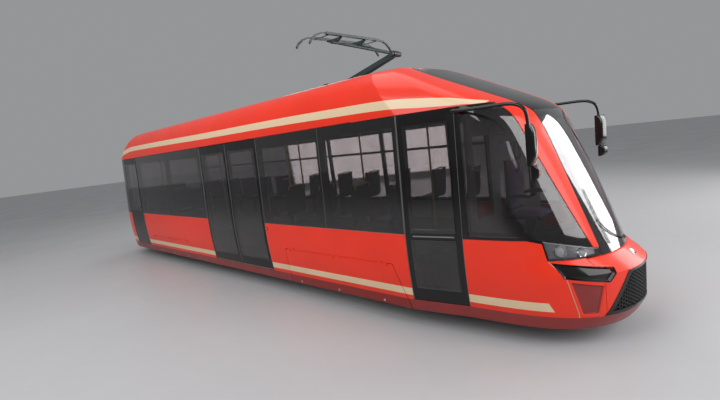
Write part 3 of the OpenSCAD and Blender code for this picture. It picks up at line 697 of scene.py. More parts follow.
@dataclass(frozen=True)
class CoachPaint(Finish):
    """Gloss body paint with two pale stripes along the car."""

    stripe: Point = (0.78, 0.60, 0.38)
    skirt: Point = (0.25, 0.010, 0.007)
    low: tuple[float, float] = (0.42, 0.518)
    low_end: float = 5.72
    high_end: float = 5.16
    middle: tuple[tuple[float, float], ...] = (
        (-6.4, 2.44), (-5.95, 2.60), (-5.56, 2.745), (-5.1, 2.845), (-4.45, 2.888), (-2.5, 2.875), (-0.9, 2.855),
        (1.8, 2.835), (3.0, 2.815), (4.0, 2.790), (4.47, 2.748), (4.72, 2.722), (4.95, 2.692), (5.1, 2.665),
        (5.3, 2.62))
    half: tuple[tuple[float, float], ...] = (
        (-6.4, 0.02), (-5.9, 0.035), (-5.3, 0.056), (4.0, 0.056), (4.75, 0.045), (5.25, 0.02), (6.4, 0.02))

    def along(self, graph: Graph, x: bpy.types.NodeSocket, points: Sequence[tuple[float, float]],
              low: float, high: float) -> bpy.types.NodeSocket:
        """Return a value that follows a curve along the car.

        Args:
            graph: the material's nodes.
            x: the length along the car.
            points: length and value pairs.
            low: the value at the curve's foot.
            high: the value at its top.

        Returns:
            The value at each point.
        """
        made = graph.node("ShaderNodeFloatCurve", {"Value": graph.span(x, -6.4, 6.4, (0.0, 1.0))})
        curve = made.mapping.curves[0]
        while len(curve.points) < len(points):
            curve.points.new(0.5, 0.5)
        for knot, (px, value) in zip(curve.points, points):
            knot.location = ((px + 6.4) / 12.8, (value - low) / (high - low))
            knot.handle_type = "AUTO_CLAMPED"
        made.mapping.update()
        return graph.span(made.outputs[0], 0.0, 1.0, (low, high))

    def colour_of(self, graph: Graph) -> bpy.types.NodeSocket:
        """Return the paint's colour with its stripes and a little road dirt.

        Args:
            graph: the material's nodes.

        Returns:
            The colour at each point.
        """
        parts = graph.node("ShaderNodeSeparateXYZ", {0: graph.place}).outputs
        x, z = parts[0], parts[2]
        end = graph.maths("MULTIPLY_ADD", z, -0.5, self.low_end + 0.5 * self.low[1])
        lower = graph.maths("MULTIPLY", graph.span(z, self.low[0], self.low[0] + 0.002, (0.0, 1.0)),
                            graph.span(z, self.low[1] - 0.002, self.low[1], (1.0, 0.0)))
        lower = graph.maths("MULTIPLY", lower, graph.maths("LESS_THAN", x, end))
        off = graph.maths("ABSOLUTE", graph.maths("SUBTRACT", z, self.along(graph, x, self.middle, 2.4, 3.0)))
        spare = graph.maths("SUBTRACT", self.along(graph, x, self.half, 0.0, 0.1), off)
        upper = graph.span(spare, -0.001, 0.001, (0.0, 1.0))
        upper = graph.maths("MULTIPLY", upper, graph.maths("LESS_THAN", x, self.high_end))
        striped = graph.maths("MAXIMUM", lower, upper)
        varied = graph.blend(graph.span(graph.noise(1.3), 0.3, 0.7, (0.0, 1.0)), shade(self.colour),
                             shade(self.second))
        painted = graph.blend(striped, varied, shade(self.stripe))
        painted = graph.blend(graph.span(z, 0.357, 0.359, (1.0, 0.0)), painted, shade(self.skirt))
        dirt = graph.maths("MULTIPLY", graph.span(z, 0.3, 0.75, (0.30, 0.0)), graph.noise(5.0, 6.0))
        return graph.blend(dirt, painted, shade((0.10, 0.05, 0.035)))


@dataclass(frozen=True)
class TintedGlass:
    """Glass with a tint, a faint waviness and a film of dust."""

    name: str
    tint: Point
    rough: tuple[float, float] = (0.01, 0.04)

    def material(self) -> bpy.types.Material:
        """Return the material, made from its nodes.

        Returns:
            The material.
        """
        graph = Graph(self.name)
        dusty = graph.span(graph.noise(3.0, 6.0), 0.35, 0.75, (0.0, 1.0))
        darker = tuple(v * 0.86 for v in self.tint)
        graph.set(Base_Color=graph.blend(dusty, shade(self.tint), shade(darker)), Transmission_Weight=1.0,
                  IOR=1.45, Roughness=graph.span(graph.noise(6.0), 0.3, 0.7, self.rough),
                  Coat_Weight=0.3, Coat_Roughness=0.02)
        graph.relief(graph.noise(1.2, 1.0), 0.0015, 0.12)
        return graph.material


@dataclass(frozen=True)
class Glow:
    """A lamp face that gives a little light of its own."""

    name: str
    colour: Point
    power: float

    def material(self) -> bpy.types.Material:
        """Return the material, made from its nodes.

        Returns:
            The material.
        """
        graph = Graph(self.name)
        cells = graph.node("ShaderNodeTexVoronoi", {"Vector": graph.place, "Scale": 120.0}).outputs["Distance"]
        graph.set(Base_Color=graph.blend(cells, shade(self.colour), shade(tuple(v * 0.6 for v in self.colour))),
                  Roughness=graph.span(graph.noise(40.0), 0.3, 0.7, (0.08, 0.2)), Coat_Weight=0.6,
                  Emission_Color=shade(self.colour), Emission_Strength=self.power)
        graph.relief(cells, 0.001, 0.4)
        return graph.material


@dataclass
class Finishes:
    """Every finish on the tram, made once."""

    made: dict[str, bpy.types.Material] = field(default_factory=dict)

    def build(self) -> None:
        """Make all the materials."""
        kinds: tuple[Finish | TintedGlass | Glow, ...] = (
            CoachPaint("coach_red", (0.90, 0.034, 0.008), (0.83, 0.029, 0.007), scale=5.0, rough=(0.28, 0.36),
                       coat=0.22, depth=0.00003, shine=0.32),
            CoachPaint("roof_red", (0.90, 0.034, 0.008), (0.83, 0.029, 0.007), scale=5.0, rough=(0.55, 0.7),
                       depth=0.00003, shine=0.2),
            Finish("skirt_red", (0.26, 0.012, 0.009), (0.19, 0.012, 0.010), scale=4.0, rough=(0.36, 0.5),
                   coat=0.35, depth=0.0003),
            Finish("gloss_black", (0.004, 0.004, 0.0045), (0.008, 0.0075, 0.008), scale=3.0, rough=(0.10, 0.18),
                   coat=0.1, shine=0.32, depth=0.0001),
            # painted highlight: light grey on the pane gaskets and door seals, standing in for the highlight lines
            # along pane joints and door edges
            Finish("trim_and_highlight_grey", (0.20, 0.195, 0.19), (0.14, 0.135, 0.13), scale=8.0, rough=(0.4, 0.55)),
            Finish("rubber", (0.012, 0.012, 0.012), (0.022, 0.022, 0.022), scale=12.0, rough=(0.55, 0.75)),
            # painted highlight: a real seam cover strip, made light cream to stand in for the highlight line along the
            # slanted cheek seam
            Finish("seam_highlight_cream", (0.62, 0.50, 0.36), (0.50, 0.42, 0.32), Grain.BRUSHED, 5.0, (0.25, 0.38), 0.6),
            Finish("roof_grey", (0.20, 0.21, 0.22), (0.13, 0.135, 0.14), Grain.SPECKLED, 5.0, (0.6, 0.8)),
            Finish("box_grey", (0.36, 0.37, 0.38), (0.27, 0.275, 0.28), scale=4.0, rough=(0.45, 0.6)),
            Finish("under_steel", (0.030, 0.029, 0.029), (0.075, 0.058, 0.045), scale=6.0, rough=(0.55, 0.8),
                   metal=0.3, depth=0.0015),
            Finish("case_grey", (0.055, 0.057, 0.060), (0.085, 0.075, 0.065), scale=5.0, rough=(0.5, 0.7),
                   depth=0.0004),
            Finish("bogie_paint", (0.050, 0.052, 0.056), (0.095, 0.075, 0.060), scale=7.0, rough=(0.5, 0.75),
                   metal=0.2, depth=0.0015),
            Finish("wheel_steel", (0.32, 0.30, 0.28), (0.12, 0.085, 0.06), Grain.BRUSHED, 4.0, (0.3, 0.6), 0.9),
            Finish("floor_cover", (0.060, 0.064, 0.072), (0.105, 0.11, 0.12), Grain.SPECKLED, 9.0, (0.55, 0.75)),
            Finish("seat_fabric", (0.030, 0.065, 0.22), (0.20, 0.035, 0.04), Grain.WOVEN, 9.0, (0.75, 0.95),
                   depth=0.0015, sheen=0.4),
            Finish("seat_shell", (0.10, 0.105, 0.12), (0.075, 0.08, 0.09), scale=9.0, rough=(0.35, 0.5)),
            Finish("rail_paint", (0.72, 0.44, 0.03), (0.62, 0.36, 0.025), scale=9.0, rough=(0.3, 0.42), coat=0.3),
            Finish("cab_panel", (0.22, 0.22, 0.215), (0.17, 0.17, 0.17), Grain.SPECKLED, 12.0, (0.5, 0.65)),
            Finish("desk_black", (0.018, 0.018, 0.019), (0.03, 0.03, 0.032), Grain.SPECKLED, 16.0, (0.5, 0.7)),
            Finish("ceiling", (0.55, 0.55, 0.54), (0.47, 0.47, 0.465), scale=3.0, rough=(0.5, 0.65)),
            Finish("chrome", (0.72, 0.72, 0.73), (0.60, 0.60, 0.62), Grain.BRUSHED, 8.0, (0.06, 0.14), 1.0,
                   depth=0.0001),
            Finish("panto_paint", (0.012, 0.030, 0.028), (0.026, 0.044, 0.040), scale=8.0, rough=(0.4, 0.55),
                   coat=0.2),
            Finish("carbon", (0.020, 0.020, 0.022), (0.05, 0.045, 0.04), Grain.BRUSHED, 14.0, (0.4, 0.6), 0.3),
            Finish("ceramic", (0.16, 0.045, 0.022), (0.11, 0.032, 0.018), scale=7.0, rough=(0.1, 0.2), coat=0.8),
            Finish("spring_steel", (0.09, 0.09, 0.095), (0.14, 0.12, 0.10), Grain.BRUSHED, 9.0, (0.3, 0.5), 0.8),
            TintedGlass("side_tint", (0.40, 0.37, 0.375)),
            TintedGlass("screen_tint", (0.80, 0.81, 0.82)),
            TintedGlass("lens", (0.93, 0.94, 0.95), (0.01, 0.03)),
            Glow("lamp_white", (0.95, 0.96, 1.0), 0.6),
            Glow("bulb", (0.62, 0.63, 0.66), 0.08),
            Finish("reflector", (0.42, 0.40, 0.40), (0.30, 0.29, 0.29), Grain.RIBBED, 3.0, (0.12, 0.25), 0.9,
                   depth=0.0003),
            Glow("lamp_red", (0.65, 0.012, 0.010), 0.25),
            Glow("lamp_amber", (0.85, 0.26, 0.02), 0.2),
            Glow("display", (0.03, 0.05, 0.07), 0.1),
        )
        for kind in kinds:
            self.made[kind.name] = kind.material()

    def get(self, *names: str) -> list[bpy.types.Material]:
        """Return the materials of these names."""
        return [self.made[name] for name in names]

    def dress(self, finish: str, slot: str, *nodes: str) -> None:
        """Give plain nodes a finish.

        Args:
            finish: the finish's name.
            slot: not used.
            nodes: the nodes' names.
        """
        for name in nodes:
            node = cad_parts[name]
            node.data.materials.clear()
            node.data.materials.append(self.made[finish])
            LOG.info("%s: finished in %s", name, finish)


@dataclass
class Studio:
    """Pale floor, soft lamps and the camera."""

    finishes: Finishes
    lens: float = 21.5
    spot: Point = (7.384, -5.223, 2.386)
    right: Point = (0.7211, 0.6834, -0.1144)
    up: Point = (-0.0093, 0.1747, 0.9846)
    back: Point = (0.6928, -0.7089, 0.1323)
    lamps: tuple[tuple[Point, Point, float, float], ...] = (
        ((2.0, -11.0, 9.0), (0.0, 0.0, 1.4), 9.0, 900.0), ((15.5, 0.5, 7.0), (5.0, 0.0, 1.6), 8.0, 900.0),
        ((-8.5, 12.0, 4.8), (0.0, 0.0, 1.6), 9.0, 560.0), ((0.0, 0.0, 14.0), (0.0, 0.0, 0.0), 10.0, 560.0),
        ((12.5, 10.5, 4.6), (5.5, 0.0, 1.8), 7.0, 760.0))

    def camera(self) -> None:
        """Place the camera, which leans a little to its side."""
        data = bpy.data.cameras.new("camera")
        data.lens, data.sensor_width = self.lens, 36.0
        cam = bpy.data.objects.new("camera", data)
        bpy.context.scene.collection.objects.link(cam)
        turn = Matrix((self.right, self.up, self.back)).transposed()
        cam.matrix_world = Matrix.Translation(self.spot) @ turn.to_4x4()
        bpy.context.scene.camera = cam

    def lights(self) -> None:
        """Hang the lamps and set the pale surroundings."""
        for i, (place, aim, size, power) in enumerate(self.lamps):
            data = bpy.data.lights.new(f"lamp_{i}", "AREA")
            data.size, data.energy = size, power
            lamp = bpy.data.objects.new(f"lamp_{i}", data)
            bpy.context.scene.collection.objects.link(lamp)
            lamp.location = place
            lamp.rotation_euler = (Vector(place) - Vector(aim)).to_track_quat("Z", "Y").to_euler()
        world = bpy.data.worlds.new("studio")
        world.use_nodes = True
        world.node_tree.nodes["Background"].inputs[0].default_value = (0.60, 0.61, 0.63, 1.0)
        world.node_tree.nodes["Background"].inputs[1].default_value = 0.50
        bpy.context.scene.world = world
        bpy.context.scene.view_settings.view_transform = "Standard"

    def floor(self) -> None:
        """Lay a wide pale floor just under the wheels."""
        bag = Bag()
        rings, sides = steps(0.0, 90.0, 12), 48
        points = [(r * math.cos(a), r * math.sin(a), -0.002) for r in rings[1:]
                  for a in (2 * math.pi * k / sides for k in range(sides))]
        faces = [(j * sides + k, j * sides + (k + 1) % sides, (j + 1) * sides + (k + 1) % sides, (j + 1) * sides + k)
                 for j in range(len(rings) - 2) for k in range(sides)] + [tuple(range(sides))]
        bag.add(points, faces)
        mesh = bpy.data.meshes.new("studio_floor")
        mesh.from_pydata(bag.points, [], bag.faces)
        mesh.materials.append(Finish("pale_floor", (0.52, 0.52, 0.53), (0.47, 0.47, 0.48), scale=0.3,
                                     rough=(0.35, 0.5), depth=0.0001).material())
        floor = bpy.data.objects.new("studio_floor", mesh)
        bpy.context.scene.collection.objects.link(floor)

    def build(self) -> None:
        """Set up the studio."""
        self.camera()
        self.lights()
        self.floor()


def outside(low: Curve, high: Curve, bottom: float, top: float) -> Callable[[float, float], bool]:
    """Return a test that is true outside a window between two edges and two heights."""
    return lambda x, z: not (at(low, z) < x < at(high, z) and bottom < z < top)


def every(*tests: Callable[[float, float], bool]) -> Callable[[float, float], bool]:
    """Return a test that is true where all the given ones are."""
    return lambda x, z: all(test(x, z) for test in tests)


@dataclass
class Hatch:
    """A lifting cover over a bogie."""

    name: str
    body: str
    start: float
    stop: float
    foot: float
    top: float
    left: bool

    def edge(self, z: float) -> float:
        """Return the slanted edge at height z."""
        return mix(self.foot, self.stop, (z - FORM.skirt) / (self.top - FORM.skirt)) if z < self.top else self.stop

    def gap(self, z: float) -> float:
        """Return the slanted edge of the opening, a little past the cover's."""
        return self.edge(z) + COVER_GAP

    def heights(self) -> list[float]:
        """Return the heights at which the cover is bent to the side's curve."""
        return steps(FORM.skirt, self.top, 14)

    def build(self, finishes: Finishes) -> None:
        """Make the cover with its hinge and locks.

        Args:
            finishes: the tram's finishes.
        """
        bag = Bag()
        edges: list[Curve] = [*steps(self.start, self.stop, 12)[:-1], self.edge]
        bag.wall(edges, self.heights(), 0.0, 0.028)
        y, z = -FORM.side_y(self.top) - 0.005, self.top + 0.004
        xa, xb = self.start + 0.20, self.stop - 0.20
        bag.tube([(xa - 0.12, y, z), (xb + 0.12, y, z)], 0.005)
        for x in (xa - 0.09, (xa + xb) / 2, xb + 0.09):
            bag.box((x - 0.025, y - 0.003, z - 0.04), (x + 0.025, y + 0.007, z))
        for x in (self.start + 0.25, (self.start + self.stop) / 2, self.stop - 0.25):
            lock_y = -FORM.side_y(0.262)
            bag.lathe([(0.016, 0.001), (0.016, 0.0035), (0.012, 0.0045)], (x, lock_y, 0.262), (0, -1, 0.12), 20, 1)
            bag.box((x - 0.009, lock_y - 0.0055, 0.2605), (x + 0.009, lock_y - 0.001, 0.2635), 2)
        if self.left:
            bag.points = [(x, -y, z) for x, y, z in bag.points]
        bag.make(self.name, self.body, finishes.get("coach_red", "chrome", "rubber"), "body_red", 0.003,
                 [self.body])


@dataclass
class BodySides:
    """The straight sides, the skirts and the shoulders of the roof."""

    finishes: Finishes
    rear_door: tuple[float, float] = (-5.30, -4.42)
    centre_door: tuple[float, float] = (-0.92, 1.13)
    pane: tuple[float, float] = (1.214, 2.646)
    gasket: tuple[float, float] = (1.2085, 1.2130)
    hatches: list[Hatch] = field(default_factory=list)

    def keep_hatches(self) -> Callable[[float, float], bool]:
        """Return a test that is true outside the hatch openings.

        Returns:
            The test, over length and height.
        """
        front, rear = self.hatches[0], self.hatches[2]
        return every(outside(front.start - COVER_GAP, front.gap, 0.0, front.top + COVER_GAP),
                     outside(rear.start - COVER_GAP, rear.gap, 0.0, rear.top + COVER_GAP))

    def lines(self, low: float, high: float) -> list[Curve]:
        """Return the lengths at which a wall is divided between low and high.

        Args:
            low: where it starts.
            high: where it stops.

        Returns:
            The lengths, those at slanted openings as curves of the height.
        """
        front, rear = self.hatches[0], self.hatches[2]
        marks: list[Curve] = [low, high]
        for hatch in (front, rear):
            if low < hatch.start < high:
                marks += [hatch.start - COVER_GAP, hatch.gap]
        marks += [x for x in steps(low, high, 16)[1:-1]
                  if all(abs(x - at(m, 0.3)) > 0.30 for m in marks)]
        return sorted(marks, key=lambda m: at(m, 0.9))

    def walls(self) -> None:
        """Make the side walls below the glass and the skirts below them."""
        zs = [0.36, 0.40, 0.45, 0.50, 0.55, 0.60, 0.648, 0.70, 0.75, 0.808, 0.87, 0.94, 1.02, 1.12, 1.21]
        keep = self.keep_hatches()
        right = Bag()
        right.wall(self.lines(self.rear_door[1], self.centre_door[0]), zs, 0.0, 0.05, keep)
        right.wall(self.lines(self.centre_door[1], FORM.front.taper), zs, 0.0, 0.05, keep)
        left = Bag()
        left.wall(self.lines(self.rear_door[0], FORM.front.taper), zs, 0.0, 0.05, keep)
        left.points = [(x, -y, z) for x, y, z in left.points]
        for bag in (right, left):
            side = -1 if bag is right else 1
            for hatch in (self.hatches[0], self.hatches[2]):
                y, z = side * (FORM.side_y(hatch.top) + 0.005), hatch.top + 0.004
                for x in (hatch.start + 0.20, hatch.stop - 0.20):
                    bag.tube([(x - 0.03, y, z), (x + 0.03, y, z)], 0.009)
                    bag.box((x - 0.03, y - 0.006, z), (x + 0.03, y + 0.006, z + 0.034))
        right.add(left.points, left.faces)
        right.make("side_walls", "car_body", self.finishes.get("coach_red"), "body_red", 0.003, ["side_panels"])
        skirt = Bag()
        skirt.wall(self.lines(self.rear_door[0], FORM.front.taper), [0.22, 0.25, 0.29, 0.32, 0.3595], 0.0, 0.04, keep)
        skirt.both().make("side_skirting", "car_body", self.finishes.get("skirt_red"), "skirt_red", 0.003,
                          ["side_skirts"])

    def shoulders(self) -> None:
        """Make the roof's curved shoulders along the straight part."""
        bag = Bag()
        zs = [FORM.band + (FORM.roof - FORM.band) * math.sin(math.radians(a)) for a in steps(0, 90, 36)]
        bag.wall(steps(-4.5, 3.4, 20), zs, 0.0, 0.05)
        bag.both()
        bag.make("roof_shoulders", "car_body", self.finishes.get("coach_red"), "body_red", 0.0012, ["roof_sides"])
        gutter = Bag()
        gutter.wall(steps(-4.5, 3.4, 12), [2.6515, 2.6575], -0.006, 0.004)
        gutter.both().make("rain_gutters", "car_body", self.finishes.get("gloss_black"), "band_black", 0.001)

    def glazing(self) -> None:
        """Finish the window band and add the gaskets round its panes, in a light grey that paints the highlight lines
        at the pane joints.
        """
        self.finishes.dress("gloss_black", "band_black", "window_bands")
        self.finishes.dress("side_tint", "tinted_glass", "side_glass")
        # painted highlight: the gaskets are light grey to stand in for the highlight lines along the pane joints
        bag = Bag()
        for x in (-2.61, 2.71):
            bag.wall([x - 0.0035, x + 0.0035], steps(*self.pane, 4), 0.0015, 0.0075)
        bag.wall(steps(-4.42, -0.92, 8), self.gasket, -0.0012, 0.006)
        bag.wall(steps(1.13, 4.14, 8), self.gasket, -0.0012, 0.006)
        for x in (-4.42, -0.924, 1.13, 4.136):
            bag.wall([x, x + 0.004], steps(*self.pane, 4), -0.001, 0.006)
        bag.make("pane_gaskets_right", "car_body", self.finishes.get("trim_and_highlight_grey"), "band_black", 0.0008)
        bag = Bag()
        for x in (-2.60, 0.42):
            bag.wall([x - 0.0035, x + 0.0035], steps(*self.pane, 4), 0.0015, 0.0075)
        bag.wall(steps(-5.3, 4.14, 16), self.gasket, -0.0012, 0.006)
        bag.points = [(x, -y, z) for x, y, z in bag.points]
        bag.make("pane_gaskets_left", "car_body", self.finishes.get("trim_and_highlight_grey"), "band_black", 0.0008)

    def build(self) -> None:
        """Make the sides."""
        for left, side in ((False, "right"), (True, "left")):
            self.hatches.append(Hatch(f"front_cover_{side}", f"hatch_front_{side}", 1.61, 3.88, 4.09, 0.80, left))
        for left, side in ((False, "right"), (True, "left")):
            self.hatches.append(Hatch(f"rear_cover_{side}", f"hatch_rear_{side}", -4.11, -2.03, -1.96, 0.64, left))
        for hatch in self.hatches:
            hatch.build(self.finishes)
        self.walls()
        self.shoulders()
        self.glazing()


@dataclass
class Nose:
    """The front end: cheeks, lamps, hood, grille, pillars, screens and brow."""

    finishes: Finishes
    seam_top: float = 0.402
    seam_foot: float = 0.478
    cell: float = 0.023
    columns: int = 26
    rows: int = 20

    def seam(self, z: float) -> float:
        """Return where the slanted seam in the cheek runs at height z."""
        return mix(self.seam_foot, self.seam_top, clamp((z - 0.36) / 0.60, 0, 1))

    def past_seam(self, z: float) -> float:
        """Return the far side of the slanted seam at height z."""
        return self.seam(z) + 0.004

    def lamp_top(self, u: float) -> float:
        """Return the upper edge of the headlamp cluster at u."""
        return FORM.waist_line(u) - 0.0045

    def pane_foot(self, u: float) -> float:
        """Return the lower edge of the cab side pane at u."""
        return FORM.waist_line(u) + 0.0035

    def pane_edge(self, z: float) -> float:
        """Return the edge of the cab side pane beside the pillar at height z."""
        return FORM.pillar_out(z) - 0.005

    def brow_edge(self, z: float) -> float:
        """Return the edge of the brow beside the pillar at height z."""
        return FORM.pillar_in(z) + 0.006

    def painted(self) -> None:
        """Make the red panels of the nose."""
        red = self.finishes.get("coach_red", "skirt_red")
        bag = Bag()
        bag.panel(End.FRONT, (0.0, self.seam), (0.36, lambda u: FORM.waist_line(u) - 0.0025), 0.0, 0.05, (30, 30))
        bag.panel(End.FRONT, (self.past_seam, 0.6245), (0.36, 0.9615), 0.0, 0.05, (88, 130))
        bag.both()
        left = Bag()
        left.panel(End.FRONT, (-1.0, -0.003), (0.36, 1.21), 0.0, 0.05, (12, 16))
        bag.add([(x, -y, z) for x, y, z in left.points], left.faces)
        bag.make("cheek_panels", "car_body", red, "body_red", 0.0025, ["cheeks"])
        bag = Bag()
        bag.panel(End.FRONT, (0.6265, 1.3735), (0.8005, 0.95), 0.0, 0.045, (80, 16))
        bag.make("hood_wedge", "car_body", red, "body_red", 0.0025, ["hood"])
        bag = Bag()
        bag.panel(End.FRONT, (0.6265, 1.3735), (0.36, 0.799), 0.0, 0.05, (150, 90))
        bag.make("grille_surround", "car_body", red, "body_red", 0.0025, ["grille"])
        bag = Bag()
        bag.panel(End.FRONT, (FORM.pillar_out, FORM.pillar_in), (FORM.waist_line, 2.65), 0.0, 0.058, (14, 60))
        bag.both().make("a_pillars", "car_body", red, "body_red", 0.004, ["front_pillars"])
        bag = Bag()
        bag.panel(End.FRONT, (-2.0, FORM.pillar_in), (2.6505, 3.27), 0.0, 0.05, (64, 26))
        bag.both().make("front_roof_shell", "car_body", red, "body_red", 0.0012, ["front_roof"])
        bag = Bag()
        bag.panel(End.FRONT, (-1.0, 3.0), (0.22, 0.3595), 0.0, 0.04, (110, 6))
        rear = Bag()
        rear.panel(End.REAR, (0.0, 2.0), (0.22, 0.3595), 0.0, 0.04, (80, 6))
        bag.add(rear.points, rear.faces)
        bag.make("end_skirting", "car_body", self.finishes.get("skirt_red"), "skirt_red", 0.003, ["end_skirts"])

    def recesses(self) -> None:
        """Line the pressed recesses, the lower one in dark red that paints the shade in it, and cover the slanted seam
        with a light strip that paints the highlight along it.
        """
        bag = Bag()
        bag.patch(LAMP_DENT.corners, -0.0020, 0.002, (110, 60), 0)
        # painted shade: the lower recess is lined in dark skirt red to stand in for the shade that falls in it
        painted_shade_lining = ((0.500, 0.402), (0.448, 0.748), (0.617, 0.688), (0.579, 0.402))
        bag.patch(painted_shade_lining, -0.0016, 0.002, (60, 80), 1)
        # painted highlight: the seam cover takes the light cream that stands in for the highlight line along the seam
        bag.panel(End.FRONT, (self.seam, self.past_seam), (0.362, 0.958), -0.0006, 0.008, (1, 24), 2)
        bag.both()
        bag.make("cheek_recesses", "car_body", self.finishes.get("gloss_black", "skirt_red", "seam_highlight_cream"),
                 "band_black", 0.0008)

    def bar(self, bag: Bag, a: tuple[float, float], b: tuple[float, float]) -> None:
        """Add one bar of the grille's mesh.

        Args:
            bag: the piece's faces.
            a: one end, as distance from the middle and height.
            b: the other end.
        """
        if min(a[0], b[0]) < -0.001:
            return
        (ya, za), (yb, zb) = a, b
        across = Vector((zb - za, ya - yb)).normalized() * 0.0035
        corners: list[Point] = []
        for depth in (0.004, 0.020):
            for y, z, sign in ((ya, za, 1), (ya, za, -1), (yb, zb, -1), (yb, zb, 1)):
                yy, zz = abs(y + across.x * sign), z + across.y * sign
                corners.append(FORM.skin(End.FRONT, FORM.side_at(End.FRONT, yy, zz), zz, depth))
        bag.add(corners, ((0, 1, 2, 3), (7, 6, 5, 4), (0, 4, 5, 1), (1, 5, 6, 2), (2, 6, 7, 3), (3, 7, 4, 0)))

    def grille(self) -> None:
        """Make the honeycomb grille in its bevelled frame."""
        bag = Bag()
        size = self.cell
        for col in range(self.columns):
            for row in range(self.rows):
                y = col * size * 1.5
                z = 0.395 + row * size * math.sqrt(3) + (size * math.sqrt(3) / 2 if col % 2 else 0)
                edge = mix(0.655, 0.815, (z - 0.385) / 0.387)
                if z > 0.765 or y > -FORM.skin(End.FRONT, edge, z)[1] - 0.015:
                    continue
                hexagon = [(y + size * math.cos(math.radians(60 * k)), z + size * math.sin(math.radians(60 * k)))
                           for k in range(6)]
                for k in range(6 if row == 0 or col == 0 else 3):
                    self.bar(bag, hexagon[k], hexagon[(k + 1) % 6])
        bag.both()
        bag.make("grille_mesh", "car_body", self.finishes.get("desk_black"), "band_black", 0.0)
        bag = Bag()
        bag.patch(GRILLE_DENT.corners, -0.0020, 0.002, (130, 70), 0)
        (ua, za), (ub, zb), (uc, zc), (ud, zd) = GRILLE_DENT.corners
        w, h = 0.040, 0.022
        ring = (((ua - w, za - h), (ub - w * 0.6, zb + h), (ub, zb), (ua, za)),
                ((ud, zd), (uc, zc), (uc + w * 0.6, zc + h), (ud + w, zd - h)),
                ((ub, zb), (ub - w * 0.6, zb + h), (uc + w * 0.6, zc + h), (uc, zc)),
                ((ua - w, za - h), (ua, za), (ud, zd), (ud + w, zd - h)))
        for corners in ring:
            bag.patch(corners, -0.005, 0.01, (40 if abs(corners[3][0] - corners[0][0]) > 0.1 else 2, 12), 1)
        bag.make("grille_frame", "car_body", self.finishes.get("rubber", "gloss_black"), "band_black", 0.003)

    def lamps(self) -> None:
        """Make the headlamp clusters with their projectors, and a chrome edge."""
        bag = Bag()
        top = self.lamp_top
        bag.panel(End.FRONT, (0.409, 0.744), (0.9635, top), 0.036, 0.046, (30, 8), 6)
        for a, b, low, high in ((0.409, 0.744, 0.9635, 0.9725), (0.409, 0.415, 0.9635, top),
                                (0.738, 0.744, 0.9635, top)):
            bag.panel(End.FRONT, (a, b), (low, high), 0.003, 0.034, (30 if b - a > 0.1 else 1, 2), 0)
        bag.panel(End.FRONT, (0.409, 0.744), (lambda u: top(u) - 0.009, top), 0.001, 0.034, (30, 1), 1)
        for u, z, r in ((0.500, 1.046, 0.062), (0.622, 1.006, 0.048)):
            spot = Vector(FORM.skin(End.FRONT, u, z, 0.028))
            east = Vector(FORM.skin(End.FRONT, u + 0.01, z)) - Vector(FORM.skin(End.FRONT, u - 0.01, z))
            north = Vector(FORM.skin(End.FRONT, u, z + 0.01)) - Vector(FORM.skin(End.FRONT, u, z - 0.01))
            out = east.cross(north).normalized()
            bezel = [(r * 1.15, -0.010), (r * 1.1, 0.004), (r * 0.96, 0.013), (r * 0.80, 0.012), (r * 0.66, -0.002)]
            bag.lathe(bezel, spot, out, 48, 1)
            bag.lathe([(r * 0.68, -0.004), (r * 0.66, 0.006), (r * 0.56, 0.015), (r * 0.32, 0.022), (0.0, 0.024)],
                      spot, out, 48, 7)
        bag.both()
        tail = Bag()
        tail.panel(End.REAR, (0.30, 0.52), (0.56, 0.96), -0.0015, 0.0, (16, 16), 3)
        tail.panel(End.REAR, (0.315, 0.505), (0.58, 0.76), -0.006, -0.002, (16, 12), 4)
        tail.panel(End.REAR, (0.315, 0.505), (0.77, 0.85), -0.006, -0.002, (16, 6), 5)
        tail.panel(End.REAR, (0.315, 0.505), (0.86, 0.94), -0.006, -0.002, (16, 6), 2)
        tail.both()
        bag.add(tail.points, [])
        base = len(bag.points) - len(tail.points)
        bag.faces += [tuple(base + i for i in f) for f in tail.faces]
        bag.tags += tail.tags
        bag.make("lamp_clusters", "car_body",
                 self.finishes.get("desk_black", "chrome", "lamp_white", "gloss_black", "lamp_red", "lamp_amber",
                                   "reflector", "bulb"),
                 "lamp_clear", 0.0008, ["lamps"])
        cover = Bag()
        cover.panel(End.FRONT, (0.410, 0.743), (0.9640, top), 0.0012, 0.0042, (34, 8))
        cover.both().make("lamp_covers", "car_body", self.finishes.get("lens"), "lamp_clear", 0.0)

